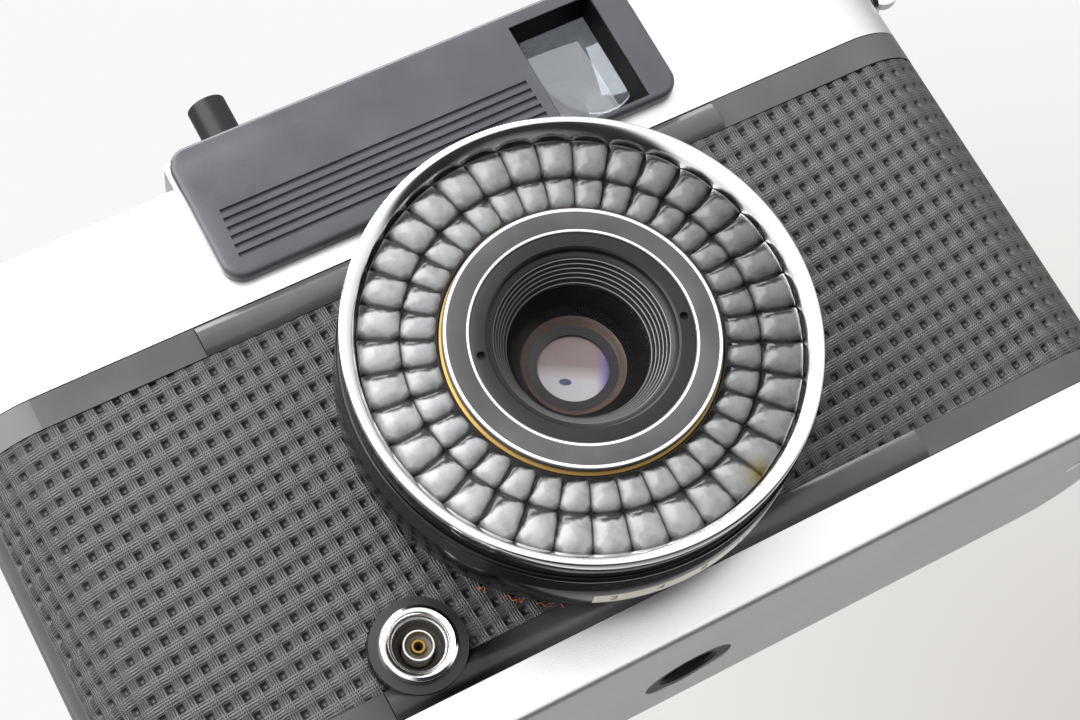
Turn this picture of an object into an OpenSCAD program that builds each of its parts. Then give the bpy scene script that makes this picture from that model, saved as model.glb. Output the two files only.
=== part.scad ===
// Half frame camera: a fixed lens compact on 35 mm film, built up from its separate pieces.
// Axes: +Z up, +X to the right of somebody who faces the lens, the lens looks along -Y.
// The origin is on the base, midway between the sides and midway between the front and the back.

/* [Body] */
// Width of the body over its rounded ends
body_w = 112; // [108:1:118]
// Front face of the body, behind the origin's plane
front_y = -7.7; // [-9:0.1:-7]
// Outer face of the back cover
back_y = 21.8; // [20:0.1:23]
// Radius of the body's vertical corners
corner_r = 8.5; // [7:0.5:10]
// Height of the bottom cover
base_h = 5.3; // [4:0.1:7]
// Height at which the top cover starts
top_z = 50; // [48:0.1:52]
// Height of the two shoulders
shoulder_z = 65.3; // [64:0.1:66.5]
// Height of the raised middle housing
hump_z = 68.1; // [67.5:0.1:69]
// Left end of the raised housing
hump_x0 = -25.2; // [-27:0.1:-24]
// Right end of the raised housing
hump_x1 = 28; // [27.5:0.1:29]
// Height of the painted strips above and below the covering
strip_h = 3.2; // [2.8:0.1:3.6]
// Half width of the front plate between its two joints
plate_hw = 30; // [28:0.5:32]

/* [Lens] */
// Height of the lens axis above the base
axis_z = 27.5; // [26:0.1:29]
// Distance from the front face to the chrome lip
barrel_l = 15.8; // [14:0.1:17]
// Outer radius of the chrome lip
lip_r = 23; // [22.5:0.1:24]
// Radius of the accessory thread in the lip
thread_r = 21.75; // [21.5:0.05:22]
// Radius of the barrel's neck at the body
neck_r = 21.3; // [20:0.1:22]
// Number of light gathering bubbles in each row
bubbles = 36; // [30:1:42]

/* [Controls] */
// Radius of the shutter button
button_r = 2.1; // [1.8:0.1:2.6]
// Travel of the shutter button
button_travel = 2.5; // [1.5:0.1:3]
// Radius of the rewind knob
knob_r = 8.6; // [8:0.1:9]
// Radius of the advance wheel
wheel_r = 10.4; // [9.5:0.1:10.5]
// Radius of the tripod socket
tripod_r = 3.175; // [3.175:0.001:3.175]

/* [Hidden] */
$fn = 96;
gap = 0.06;
wall = 0.9;
skin = 0.9;
floor_t = 1;
seam_y = 6.3;
lip_y = front_y - barrel_l;
leather_z0 = base_h + strip_h;
leather_z1 = top_z - strip_h - 0.2;
leather_end_y = front_y + 5;
film_y = 15.5;
chamber_x = 39.2;
chamber_y = 7.2;
chamber_r = 12.8;
plate_back_y = -5.6;
sprocket_x = -21.6;
sprocket_y = 9.3;
wheel_x = -37;
wheel_y = 12.9;
wheel_z = 51.6;
dial_x = -41;
dial_y = 0.6;
wheel_teeth = 21;
sprocket_teeth = 27;
gear_z = 57;
gear_gap = sqrt(pow(wheel_x - sprocket_x, 2) + pow(wheel_y - sprocket_y, 2));
wheel_gear_r = gear_gap * wheel_teeth / (wheel_teeth + sprocket_teeth);
knob_x = chamber_x;
knob_y = chamber_y;
button_x = -17.5;
button_y = -4.4;
button_top = 73.6;
finder_x0 = 14.2;
finder_x1 = 24;
finder_z0 = 52.9;
finder_z1 = 66.3;
eye_x = 18.5;
eye_z = 60.5;
socket_x = -25.1;
socket_z = 10.9;
tripod_x = 1.9;
tripod_y = 9.2;
release_x = sprocket_x;
release_y = sprocket_y;
lug_y = 0;
lug_z = 57;
hinge_x = -body_w / 2 + 1.3;
hinge_y = seam_y + 0.5;
hinge_r = 1.3;
shutter_y = -13.4;
blade_x = 9.6;
blade_z = 5.6;
leaf_x = 1.8;
flag_x = 4;
flag_z = 51.9;
knob_z = shoulder_z + 0.3;
crank_y = -5.6;
crank_z = 3.27;
collar_z = hump_z - 2.4;
spring_z = top_z + 5.4;
screw_x = 49.9;
screw_y = 6.1;
knuckle_z0 = 17;
knuckle_z1 = 38;
latch_z = 27.5;
lens_board_y = 0.1;
finder_lens_z = 58.3;

// ---------- shared shapes ----------

// Plan of the body: a rectangle with round corners, drawn in from the outer face by inset.
module plan(inset = 0) {
    r = corner_r - inset;
    cx = body_w / 2 - corner_r;
    y0 = front_y + corner_r;
    y1 = back_y - corner_r;
    for (sx = [-1, 1])
        for (y = [y0, y1])
            translate([sx * cx, y]) circle(r);
    translate([-cx, front_y + inset]) square([2 * cx, back_y - front_y - 2 * inset]);
    translate([-body_w / 2 + inset, y0]) square([body_w - 2 * inset, y1 - y0]);
}

// A box given by its lowest and highest corners.
module box(a, b) {
    translate(a) cube(b - a);
}

// A disc or tube along the lens axis from y0 back to y1.
module lens_tube(r, y0, y1, bore = 0) {
    translate([0, y0, axis_z]) rotate([-90, 0, 0]) difference() {
        cylinder(r = r, h = y1 - y0);
        if (bore > 0) translate([0, 0, -1]) cylinder(r = bore, h = y1 - y0 + 2);
    }
}

// A turned piece about the lens axis, from a profile of [radius, y] points.
module lens_turned(profile) {
    translate([0, 0, axis_z]) rotate([-90, 0, 0]) rotate_extrude() polygon(profile);
}

// A vertical cylinder or tube.
module post(x, y, z0, z1, r, bore = 0) {
    translate([x, y, z0]) difference() {
        cylinder(r = r, h = z1 - z0);
        if (bore > 0) translate([0, 0, -1]) cylinder(r = bore, h = z1 - z0 + 2);
    }
}

// A rounded slab seen from the front, from corner a to corner b in x and z, between y0 and y1.
module front_slab(a, b, y0, y1, r) {
    translate([0, y1, 0]) rotate([90, 0, 0]) linear_extrude(y1 - y0) {
        for (x = [a[0] + r, b[0] - r])
            for (z = [a[1] + r, b[1] - r])
                translate([x, z]) circle(r, $fn = 48);
        translate([a[0] + r, a[1]]) square([b[0] - a[0] - 2 * r, b[1] - a[1]]);
        translate([a[0], a[1] + r]) square([b[0] - a[0], b[1] - a[1] - 2 * r]);
    }
}

// A spur gear blank with straight sided teeth, about the Z axis.
module gear(pitch_r, teeth, h, bore, turn = 0) {
    m = 2 * pitch_r / teeth;
    linear_extrude(h) difference() {
        union() {
            circle(pitch_r - 1.15 * m);
            for (i = [0 : teeth - 1])
                rotate(turn + i * 360 / teeth)
                    polygon([[pitch_r - 1.6 * m, -0.72 * m], [pitch_r - 1.1 * m, -0.72 * m],
                        [pitch_r + 0.85 * m, -0.3 * m], [pitch_r + 0.85 * m, 0.3 * m],
                        [pitch_r - 1.1 * m, 0.72 * m], [pitch_r - 1.6 * m, 0.72 * m]]);
        }
        circle(bore);
    }
}

// ---------- body ----------

module main_casting() {
    floor_z = base_h + 1.3;
    roof_z = top_z - 1.2;
    color([0.09, 0.09, 0.1]) {
        difference() {
            union() {
                intersection() {
                    translate([0, 0, base_h + gap]) linear_extrude(top_z - base_h - 2 * gap) plan(0);
                    box([-80, -20, 0], [80, seam_y, 80]);
                }
                box([-body_w / 2 + 3.2, -2, base_h + gap], [body_w / 2 - 3.2, film_y, top_z - gap]);
                // guide of the shutter button's stem
                post(button_x, button_y, top_z - 1, spring_z - 0.1, 2.2);
                // stud that the advance wheel turns on
                post(wheel_x, wheel_y, top_z - 1, 62, 1);
                // ear that carries the warning flag
                box([flag_x - 1.5, front_y + 5.3, top_z - 1], [flag_x + 1.5, front_y + 6.5, flag_z + 1.5]);
            }
            // the step that the front covering is glued into
            difference() {
                box([-80, -20, leather_z0], [80, leather_end_y, leather_z1]);
                translate([0, 0, leather_z0 - 1]) linear_extrude(leather_z1 - leather_z0 + 2) plan(skin);
            }
            // window for the front plate
            box([-plate_hw - gap, -20, 0], [plate_hw + gap, plate_back_y + gap, 80]);
            // film chambers, open to the back
            for (sx = [-1, 1]) {
                post(sx * chamber_x, chamber_y, floor_z, roof_z, chamber_r);
                box([sx * chamber_x - chamber_r, chamber_y, floor_z],
                    [sx * chamber_x + chamber_r, 30, roof_z]);
                post(sx * screw_x, screw_y, 0, floor_z + 1, 0.75);
            }
            // sprocket chamber
            post(sprocket_x, sprocket_y, floor_z, roof_z, 6.9);
            box([sprocket_x - 6.9, sprocket_y, floor_z], [sprocket_x + 6.2, 30, roof_z]);
            // shafts through the roof and the floor
            post(sprocket_x, sprocket_y, 0, 80, 1.56);
            post(-chamber_x, chamber_y, 0, 80, 1.56);
            post(knob_x, knob_y, 20, 80, 1.62);
            post(dial_x, dial_y, 40, 80, 1.06);
            post(button_x, button_y, top_z - 6, 80, 1.36);
            translate([flag_x, 0, flag_z]) rotate([90, 0, 0]) cylinder(r = 0.66, h = 10);
            // light tunnel and film gate
            lens_tube(15.8, -8, 3);
            box([-11, 2.9, axis_z - 14], [11, film_y - 2, axis_z + 14]);
            box([-9, 8, axis_z - 12], [9, film_y + 2, axis_z + 12]);
            // channel that keeps the film off the gate
            box([-14, film_y - 0.25, axis_z - 12.6], [26, film_y + 2, axis_z + 12.6]);
            // back of the flash socket
            translate([socket_x, -2.9, socket_z]) rotate([90, 0, 0]) cylinder(r = 3.3, h = 10);
            // room for the back cover's knuckles and for the latch
            post(hinge_x, hinge_y, base_h, top_z, hinge_r + 0.65);
            box([body_w / 2 - 2.6, seam_y - 4.6, latch_z - 3.5], [body_w / 2 + 1, seam_y + 1, latch_z + 3.5]);
        }
        // the casting's own hinge knuckle
        difference() {
            union() {
                post(hinge_x, hinge_y, knuckle_z0 + 0.2, knuckle_z1 - 0.2, hinge_r);
                box([hinge_x - 0.5, seam_y - 2, knuckle_z0 + 0.2], [hinge_x + 1.3, hinge_y, knuckle_z1 - 0.2]);
            }
            post(hinge_x, hinge_y, 0, 80, 0.62);
        }
    }
}

module strip_profile(z0, h) {
    r = 2.4;
    intersection() {
        translate([front_y + 1.8, z0 + h / 2]) circle(r);
        translate([front_y - 2, z0]) square([3.1, h]);
    }
}

module front_plate() {
    color([0.07, 0.07, 0.08]) difference() {
        union() {
            box([-plate_hw, front_y + skin + 0.05, base_h + gap],
                [plate_hw, plate_back_y, top_z - gap]);
            rotate([90, 0, 90]) translate([0, 0, -plate_hw]) linear_extrude(2 * plate_hw) {
                strip_profile(base_h + gap, strip_h - gap);
                strip_profile(leather_z1, top_z - leather_z1 - gap);
            }
            translate([socket_x, front_y + 1.1, socket_z]) rotate([90, 0, 0]) cylinder(r = 4.8, h = 2.1);
        }
        lens_tube(15.8, -12, 0);
        lens_tube(neck_r + gap, -12, front_y + skin + 0.05);
        translate([socket_x, 0, socket_z]) rotate([90, 0, 0]) cylinder(r = 3.26, h = 20);
    }
}

module front_leatherette(side) {
    color([0.16, 0.16, 0.17]) difference() {
        intersection() {
            translate([0, 0, leather_z0 + 0.05])
                linear_extrude(leather_z1 - leather_z0 - 0.1) difference() {
                    plan(0.05);
                    plan(skin - 0.02);
                }
            box([side < 0 ? -80 : 0, -20, 0], [side < 0 ? 0 : 80, leather_end_y - 0.1, 80]);
        }
        lens_tube(neck_r + 0.15, -20, 0);
        if (side < 0)
            translate([socket_x, 0, socket_z]) rotate([90, 0, 0]) cylinder(r = 4.95, h = 20);
    }
}

module leatherette_left() { front_leatherette(-1); }

module leatherette_right() { front_leatherette(1); }

// A cover with its upper edges rounded by r, over the stretch x0 to x1 and up to z1.
module rounded_block(x0, x1, z1, r, inset) {
    z0 = top_z + gap;
    intersection() {
        translate([0, 0, z0]) linear_extrude(z1 - z0) plan(inset);
        rotate([90, 0, 90]) translate([0, 0, -80]) linear_extrude(160) {
            translate([front_y + inset, z0]) square([back_y - front_y - 2 * inset, z1 - r - z0]);
            translate([front_y + inset + r, z0]) square([back_y - front_y - 2 * inset - 2 * r, z1 - z0]);
            for (y = [front_y + inset + r, back_y - inset - r])
                translate([y, z1 - r]) circle(r);
        }
        translate([0, 60, 0]) rotate([90, 0, 0]) linear_extrude(120) {
            translate([x0, z0]) square([x1 - x0, z1 - r - z0]);
            translate([x0 + r, z0]) square([x1 - x0 - 2 * r, z1 - z0]);
            for (x = [x0 + r, x1 - r])
                translate([x, z1 - r]) circle(r);
        }
    }
}

module top_cover() {
    color([0.86, 0.86, 0.87]) difference() {
        union() {
            rounded_block(-body_w / 2, body_w / 2, shoulder_z, 1.7, 0);
            rounded_block(hump_x0, hump_x1, hump_z, 1.2, 0);
        }
        translate([0, 0, top_z - 1]) linear_extrude(shoulder_z - top_z + 1 - wall) plan(wall);
        box([hump_x0 + wall, front_y + wall, top_z], [hump_x1 - wall, back_y - wall, hump_z - wall]);
        box([finder_x0, -12, finder_z0], [finder_x1, front_y + 2, finder_z1]);
        translate([eye_x, 30, eye_z]) rotate([90, 0, 0]) cylinder(r = 4.3, h = 12);
        post(button_x, button_y, 60, 80, button_r + 0.75);
        post(dial_x, dial_y, 60, 80, 4);
        post(knob_x, knob_y, 60, 80, 3.2);
        box([wheel_x - wheel_r - 0.5, back_y - 4, wheel_z - 0.6],
            [wheel_x + wheel_r + 0.5, back_y + 2, wheel_z + 3.8]);
        for (sx = [-1, 1])
            translate([sx * (body_w / 2 - 3), lug_y, lug_z]) rotate([0, sx * 90, 0])
                cylinder(r = 1.45, h = 8);
        for (x = [-6, 6])
            for (y = [2, 13])
                post(x, y, 60, 80, 0.85);
        post(0, 7.5, 60, 80, 2.4);
    }
}

module bottom_cover() {
    r = 1;
    color([0.84, 0.84, 0.85]) difference() {
        union() {
            difference() {
                intersection() {
                    linear_extrude(base_h) plan(0);
                    rotate([90, 0, 90]) translate([0, 0, -80]) linear_extrude(160) {
                        translate([front_y, r]) square([back_y - front_y, base_h]);
                        translate([front_y + r, 0]) square([back_y - front_y - 2 * r, base_h]);
                        for (y = [front_y + r, back_y - r])
                            translate([y, r]) circle(r);
                    }
                    translate([0, 60, 0]) rotate([90, 0, 0]) linear_extrude(120) {
                        translate([-body_w / 2, r]) square([body_w, base_h]);
                        translate([-body_w / 2 + r, 0]) square([body_w - 2 * r, base_h]);
                        for (sx = [-1, 1])
                            translate([sx * (body_w / 2 - r), r]) circle(r);
                    }
                }
                translate([0, 0, floor_t]) linear_extrude(10) plan(wall);
            }
            // bosses that the two screws draw against the casting
            for (sx = [-1, 1])
                post(sx * screw_x, screw_y, floor_t - 0.2, base_h - 0.05, 2.3);
        }
        post(tripod_x, tripod_y, -1, 10, 5 + gap);
        post(release_x, release_y, -1, 10, 2.6);
        for (sx = [-1, 1]) {
            post(sx * screw_x, screw_y, -1, 10, 0.75);
            post(sx * screw_x, screw_y, -1, 0.95, 1.35);
        }
    }
}

module nameplate() {
    y0 = front_y - 1.5;
    color([0.13, 0.14, 0.16]) difference() {
        front_slab([-24.9, 52.2], [27.7, hump_z], y0, front_y - 0.02, 1.6);
        box([finder_x0, y0 - 1, finder_z0], [finder_x1, front_y + 1, finder_z1]);
        for (i = [0 : 5])
            box([-22.8 + 0.08 * i, y0 - 1, 54.32 + 1.03 * i], [13.1, y0 + 0.35, 54.8 + 1.03 * i]);
    }
}

// ---------- viewfinder ----------

module finder_window() {
    color([0.75, 0.8, 0.82, 0.4])
        box([finder_x0 - 1.2, front_y + 2.6, finder_z0 - 1], [finder_x1 + 1.2, front_y + 3.6, finder_z1 + 0.6]);
}

module finder_tube() {
    y0 = front_y + 4.6;
    y1 = back_y - 4.2;
    color([0.05, 0.05, 0.05]) {
        difference() {
            box([finder_x0 - 2, y0, finder_z0 - 1.6], [finder_x1 + 2, y1, finder_z1 + 0.7]);
            box([finder_x0 - 1, y0 - 1, finder_z0 - 0.6], [finder_x1 + 1, y1 - 3, finder_z1 - 0.4]);
            translate([eye_x, y1 + 1, eye_z]) rotate([90, 0, 0]) cylinder(r = 3.6, h = 8);
        }
        // board that holds the front lens
        difference() {
            box([finder_x0 - 1.5, lens_board_y, finder_z0 - 1], [finder_x1 + 1.5, lens_board_y + 1.2, finder_z1]);
            translate([eye_x, 10, finder_lens_z]) rotate([90, 0, 0]) cylinder(r = 4.64, h = 20);
        }
    }
}

module finder_front_lens() {
    r = 8.6;
    h = 2.4;
    color([0.7, 0.76, 0.8, 0.4]) translate([eye_x, lens_board_y + 1.6, finder_lens_z])
        rotate([90, 0, 0]) intersection() {
            cylinder(r = 4.6, h = h);
            translate([0, 0, h - r]) sphere(r = r);
        }
}

module finder_rear_lens() {
    color([0.7, 0.76, 0.8, 0.4]) translate([eye_x, back_y - 2.3, eye_z]) rotate([90, 0, 0])
        cylinder(r = 3.5, h = 1.8);
}

module eyepiece_frame() {
    color([0.08, 0.08, 0.08]) translate([eye_x, 23.5, eye_z]) rotate([90, 0, 0]) difference() {
        union() {
            cylinder(r = 5.4, h = 23.5 - back_y - 0.02);
            cylinder(r = 4.2, h = 5.6);
        }
        translate([0, 0, -1]) cylinder(r = 2.9, h = 20);
        translate([0, 0, 23.5 - back_y + 2.2]) cylinder(r = 3.6, h = 20);
        translate([0, 0, -0.01]) cylinder(r1 = 4.1, r2 = 2.9, h = 1.2);
    }
}

// ---------- top fittings ----------

module accessory_shoe() {
    z0 = hump_z + 0.03;
    x1 = 10.6;
    y0 = -1.4;
    y1 = 16.6;
    color([0.8, 0.8, 0.82]) difference() {
        union() {
            box([-x1, y0, z0], [x1, y1, z0 + 0.8]);
            for (sx = [-1, 1]) {
                box([sx > 0 ? 9.4 : -x1, y0, z0], [sx > 0 ? x1 : -9.4, y1, z0 + 3.3]);
                box([sx > 0 ? 6.2 : -x1, y0, z0 + 2.7], [sx > 0 ? x1 : -6.2, y1, z0 + 3.3]);
            }
            box([-9.4, y0, z0], [9.4, y0 + 0.9, z0 + 1.7]);
        }
        post(0, 7.5, 60, 80, 2.4);
        for (x = [-6, 6])
            for (y = [2, 13])
                translate([x, y, z0 - 1]) {
                    cylinder(r = 0.9, h = 10);
                    translate([0, 0, 1.3]) cylinder(r1 = 0.9, r2 = 1.6, h = 0.55);
                }
    }
}

module shoe_contact() {
    color([0.75, 0.65, 0.4]) {
        post(0, 7.5, hump_z - 2.4, hump_z + 0.75, 2.34);
        post(0, 7.5, hump_z + 0.7, hump_z + 0.95, 1.1);
    }
}

module shoe_screws() {
    color([0.7, 0.7, 0.72]) for (x = [-6, 6])
        for (y = [2, 13])
            translate([x, y, hump_z - 1.6]) difference() {
                union() {
                    cylinder(r = 0.8, h = 2.3);
                    translate([0, 0, 1.93]) cylinder(r1 = 0.8, r2 = 1.5, h = 0.5);
                }
                box([-2, -0.15, 2.2], [2, 0.15, 3]);
            }
}

module rewind_knob() {
    h = 3.9;
    deck = 2.7;
    color([0.82, 0.82, 0.84]) translate([knob_x, knob_y, knob_z]) {
        difference() {
            union() {
                cylinder(r = knob_r, h = h);
                translate([0, 0, -4]) cylinder(r = 3.12, h = 4.1);
            }
            translate([0, 0, deck]) cylinder(r = knob_r - 0.9, h = h);
            // notch that the crank swings out through, and room for its barrel
            box([-1.9, -knob_r - 1, deck], [1.9, 0, h + 1]);
            box([-1.75, crank_y - 1, deck - 0.4], [1.75, crank_y + 1, deck + 0.1]);
            for (i = [0 : 35])
                rotate(5 + i * 10) translate([knob_r + 0.15, 0, 0.6]) cylinder(r = 0.4, h = 1.8, $fn = 4);
            translate([0, 0, -5]) cylinder(r = 1.56, h = 5 + deck - 0.3);
        }
        // ears for the crank's pin
        difference() {
            for (sx = [-1, 1])
                translate([sx * 2.2 - 0.25, crank_y - 0.8, deck - 0.1]) cube([0.5, 1.6, 1.15]);
            translate([-5, crank_y, crank_z]) rotate([0, 90, 0]) cylinder(r = 0.38, h = 10);
        }
    }
}

module rewind_crank() {
    color([0.8, 0.8, 0.82]) translate([knob_x, knob_y, knob_z]) difference() {
        union() {
            translate([-1.6, crank_y, crank_z - 0.37]) cube([3.2, 4.6 - crank_y, 0.75]);
            translate([0, 4.6, crank_z - 0.37]) cylinder(r = 2.5, h = 1.3);
            translate([-1.6, crank_y, crank_z]) rotate([0, 90, 0]) cylinder(r = 0.75, h = 3.2);
        }
        translate([-3, crank_y, crank_z]) rotate([0, 90, 0]) cylinder(r = 0.4, h = 6);
    }
}

module crank_pin() {
    color([0.6, 0.6, 0.62]) translate([knob_x - 2.4, knob_y + crank_y, knob_z + crank_z])
        rotate([0, 90, 0]) cylinder(r = 0.36, h = 4.8);
}

module rewind_fork() {
    color([0.65, 0.65, 0.66]) {
        post(knob_x, knob_y, 46, knob_z + 2.3, 1.54);
        difference() {
            post(knob_x, knob_y, 43.2, 46.1, 3.4);
            box([knob_x - 5, knob_y - 1, 43], [knob_x + 5, knob_y + 1, 45]);
        }
    }
}

module counter_dial() {
    color([0.1, 0.1, 0.1]) {
        post(dial_x, dial_y, 62.2, 63, 6.6);
        post(dial_x, dial_y, top_z - 1, 62.3, 1);
    }
}

module counter_window() {
    color([0.85, 0.88, 0.9, 0.4]) post(dial_x, dial_y, 63.3, shoulder_z + 0.1, 3.94);
}

module advance_wheel() {
    color([0.1, 0.1, 0.1]) translate([wheel_x, wheel_y, wheel_z]) difference() {
        union() {
            cylinder(r = wheel_r, h = 3.2);
            cylinder(r = 2, h = 10.8);
        }
        translate([0, 0, -1]) cylinder(r = 1.05, h = 20);
        for (i = [0 : 59])
            rotate(i * 6) translate([wheel_r + 0.15, 0, -1]) cylinder(r = 0.4, h = 6, $fn = 4);
    }
}

module advance_gear() {
    color([0.72, 0.6, 0.3]) translate([wheel_x, wheel_y, gear_z])
        gear(wheel_gear_r, wheel_teeth, 1.6, 2);
}

module sprocket_gear() {
    lean = atan2(sprocket_y - wheel_y, sprocket_x - wheel_x);
    // a gap of this gear meets a tooth of the other
    turn = 180 + lean + (lean * wheel_teeth - 180) / sprocket_teeth;
    color([0.72, 0.6, 0.3]) translate([sprocket_x, sprocket_y, gear_z])
        gear(gear_gap - wheel_gear_r, sprocket_teeth, 1.6, 1.5, turn);
}

module sprocket() {
    color([0.7, 0.7, 0.7]) {
        post(sprocket_x, sprocket_y, base_h + 0.4, gear_z + 3, 1.5);
        post(sprocket_x, sprocket_y, 12, 43, 4.6);
        for (z = [axis_z - 13.6, axis_z + 12.4]) {
            post(sprocket_x, sprocket_y, z, z + 1.2, 5.7);
            for (i = [0 : 7])
                translate([sprocket_x, sprocket_y, z + 0.1]) rotate(i * 45)
                    box([5.3, -0.8, 0], [6.5, 0.8, 1]);
        }
    }
}

module take_up_spool() {
    color([0.12, 0.12, 0.12]) {
        post(-chamber_x, chamber_y, base_h + 0.4, top_z + 1.4, 1.5);
        difference() {
            union() {
                post(-chamber_x, chamber_y, 9.2, 46.6, 5.4);
                post(-chamber_x, chamber_y, 9.2, 10.2, 9.4);
                post(-chamber_x, chamber_y, 45.4, 46.6, 9.4);
            }
            for (i = [0 : 5])
                translate([-chamber_x, chamber_y, 14]) rotate(i * 60)
                    box([3.2, -0.7, 0], [6, 0.7, 27]);
        }
    }
}

module shutter_button() {
    color([0.1, 0.1, 0.11]) difference() {
        union() {
            post(button_x, button_y, hump_z + 0.6, button_top, button_r);
            post(button_x, button_y, spring_z - 1, hump_z + 0.7, 1.3);
            post(button_x, button_y, collar_z - 1, collar_z - 0.1, 2.4);
        }
        post(button_x, button_y, button_top - 4, 80, 0.85);
        translate([button_x, button_y, button_top - 0.9]) cylinder(r1 = 0.85, r2 = 1.4, h = 0.92);
    }
}

module button_collar() {
    color([0.1, 0.1, 0.1]) difference() {
        union() {
            post(button_x, button_y, collar_z, hump_z, button_r + 0.7);
            intersection() {
                post(button_x, button_y, collar_z, collar_z + 0.8, 4.2);
                box([-60, front_y + wall + gap, 0], [60, 60, 90]);
            }
        }
        post(button_x, button_y, 60, 80, 1.35);
        post(button_x, button_y, collar_z + 0.4, 80, button_r + 0.08);
    }
}

module button_spring() {
    wire = 0.22;
    turns = 4;
    rise = collar_z - 1.1 - spring_z - 2 * wire;
    pitch = rise / turns;
    coil = 1.75;
    color([0.6, 0.6, 0.62]) translate([button_x, button_y, spring_z + wire])
        linear_extrude(rise, twist = -360 * turns, slices = 14 * turns, $fn = 12)
            polygon([for (u = [0 : 30 : 330]) let (a = wire * sin(u) / pitch * 360)
                (coil + wire * cos(u)) * [cos(a), sin(a)]]);
}

// ---------- lens ----------

module barrel_neck() {
    color([0.06, 0.06, 0.06])
        lens_turned([[16.2, front_y - 5.9], [neck_r, front_y - 5.9], [neck_r, front_y + 0.9],
            [16.2, front_y + 0.9]]);
}

module aperture_ring() {
    y0 = lip_y + 3.95;
    y1 = front_y - 3.2;
    color([0.08, 0.08, 0.08]) difference() {
        lens_turned([[neck_r + 0.06, y0 + 3], [neck_r - 3, y0 + 3], [neck_r - 3, y0], [22.9, y0],
            [23.2, y0 + 0.5], [23.2, y1 - 2.2], [22.6, y1 - 1.9], [22.4, y1], [neck_r + 0.06, y1]]);
        for (i = [0 : 71])
            if (i < 18 || i > 30)
                translate([0, y1 - 1.8, axis_z]) rotate([0, i * 5, 0]) translate([22.95, 0, 0])
                    rotate([-90, 0, 0]) cylinder(r = 0.45, h = 3, $fn = 16);
    }
}

module film_speed_ring() {
    y0 = lip_y + 1.5;
    y1 = lip_y + 3.7;
    color([0.07, 0.07, 0.07])
        lens_turned([[22.26, y0], [22.75, y0], [22.85, y0 + 0.15], [22.85, y1 - 0.1], [22.7, y1], [22.26, y1]]);
}

module lens_housing() {
    y0 = lip_y;
    color([0.1, 0.1, 0.1])
        lens_turned([[13.7, y0 + 2], [14.4, y0 + 2], [14.4, y0 + 3.05], [22.2, y0 + 3.05], [22.2, y0 + 3.8],
            [18.2, y0 + 3.8], [18.2, y0 + 4.2], [14.6, y0 + 4.2], [14.6, y0 + 8.4], [20.6, y0 + 8.4],
            [20.6, y0 + 9.85], [13.7, y0 + 9.85]]);
}

module front_bezel() {
    y0 = lip_y;
    color([0.9, 0.9, 0.9])
        lens_turned([[thread_r, y0 + 0.25], [thread_r + 0.3, y0], [lip_r - 0.25, y0], [lip_r, y0 + 0.2],
            [lip_r, y0 + 1.3], [22.2, y0 + 1.45], [22.2, y0 + 3], [21.4, y0 + 3], [21.4, y0 + 2.2],
            [thread_r, y0 + 2.2]]);
}

module selenium_cell() {
    color([0.2, 0.17, 0.15]) lens_turned([[14.5, lip_y + 2.6], [20.3, lip_y + 2.6],
        [20.3, lip_y + 2.95], [14.5, lip_y + 2.95]]);
}

module bubble_lens() {
    y0 = lip_y + 2.5;
    color([0.7, 0.72, 0.72, 0.6]) {
        lens_turned([[14.5, y0 - 0.6], [21.3, y0 - 0.6], [21.3, y0 - 0.35], [20.3, y0 - 0.35],
            [20.3, y0], [14.5, y0]]);
        // each row is [distance from the axis, radius of a bubble]
        for (row = [[15.9, 1.35], [19.3, 1.6]])
            for (i = [0 : bubbles - 1])
                translate([0, y0 - 0.6, axis_z]) rotate([0, (i + 0.4) * 360 / bubbles, 0])
                    translate([row[0], 0, 0]) rotate([90, 0, 0])
                        cylinder(r1 = row[1], r2 = row[1] * 0.55, h = 0.9, $fn = 8);
    }
}

module name_ring() {
    y0 = lip_y + 0.9;
    color([0.12, 0.12, 0.13])
        lens_turned([[10.7, y0], [13.4, y0], [13.4, y0 + 0.7], [10.7, y0 + 0.7]]);
}

module cell_trim_ring() {
    y0 = lip_y + 1.65;
    color([0.6, 0.5, 0.2])
        lens_turned([[12.4, y0], [14.35, y0], [14.35, y0 + 0.3], [13.65, y0 + 0.3], [13.65, y0 + 1.6],
            [12.4, y0 + 1.6]]);
}

module lens_hood_ring() {
    y0 = lip_y + 1;
    color([0.06, 0.06, 0.06]) difference() {
        lens_turned([[10.6, y0], [10.6, y0 + 0.75], [12.3, y0 + 0.75], [12.3, y0 + 2.6], [7.9, y0 + 2.6],
            [6.6, y0 + 4.2], [6.1, y0 + 4.2], [6.1, y0 + 3.8], [7.4, y0 + 1.7], [9.3, y0]]);
        for (a = [14, 194])
            translate([0, y0 - 1, axis_z]) rotate([0, a, 0]) translate([9.9, 0, 0]) rotate([-90, 0, 0])
                cylinder(r = 0.45, h = 2.4);
    }
}

module front_element() {
    r = 10.6;
    color([0.6, 0.6, 0.75, 0.4])
        translate([0, lip_y + 6.8, axis_z]) rotate([90, 0, 0]) intersection() {
            cylinder(r = 5.9, h = 4);
            translate([0, 0, 2.4 - r]) sphere(r = r);
        }
}

module rear_element() {
    color([0.6, 0.6, 0.75, 0.4]) lens_tube(4.6, shutter_y + 5.2, shutter_y + 7.4);
}

module lens_cell() {
    y0 = lip_y;
    y1 = shutter_y - 1.25;
    color([0.2, 0.2, 0.2])
        lens_turned([[6, y0 + 6.3], [7.6, y0 + 6.3], [7.6, y0 + 7.4], [13.62, y0 + 7.4], [13.62, y0 + 8.6],
            [7.6, y0 + 8.6], [7.6, y1], [4.8, y1], [4.8, y0 + 6.85], [6, y0 + 6.85]]);
}

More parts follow.
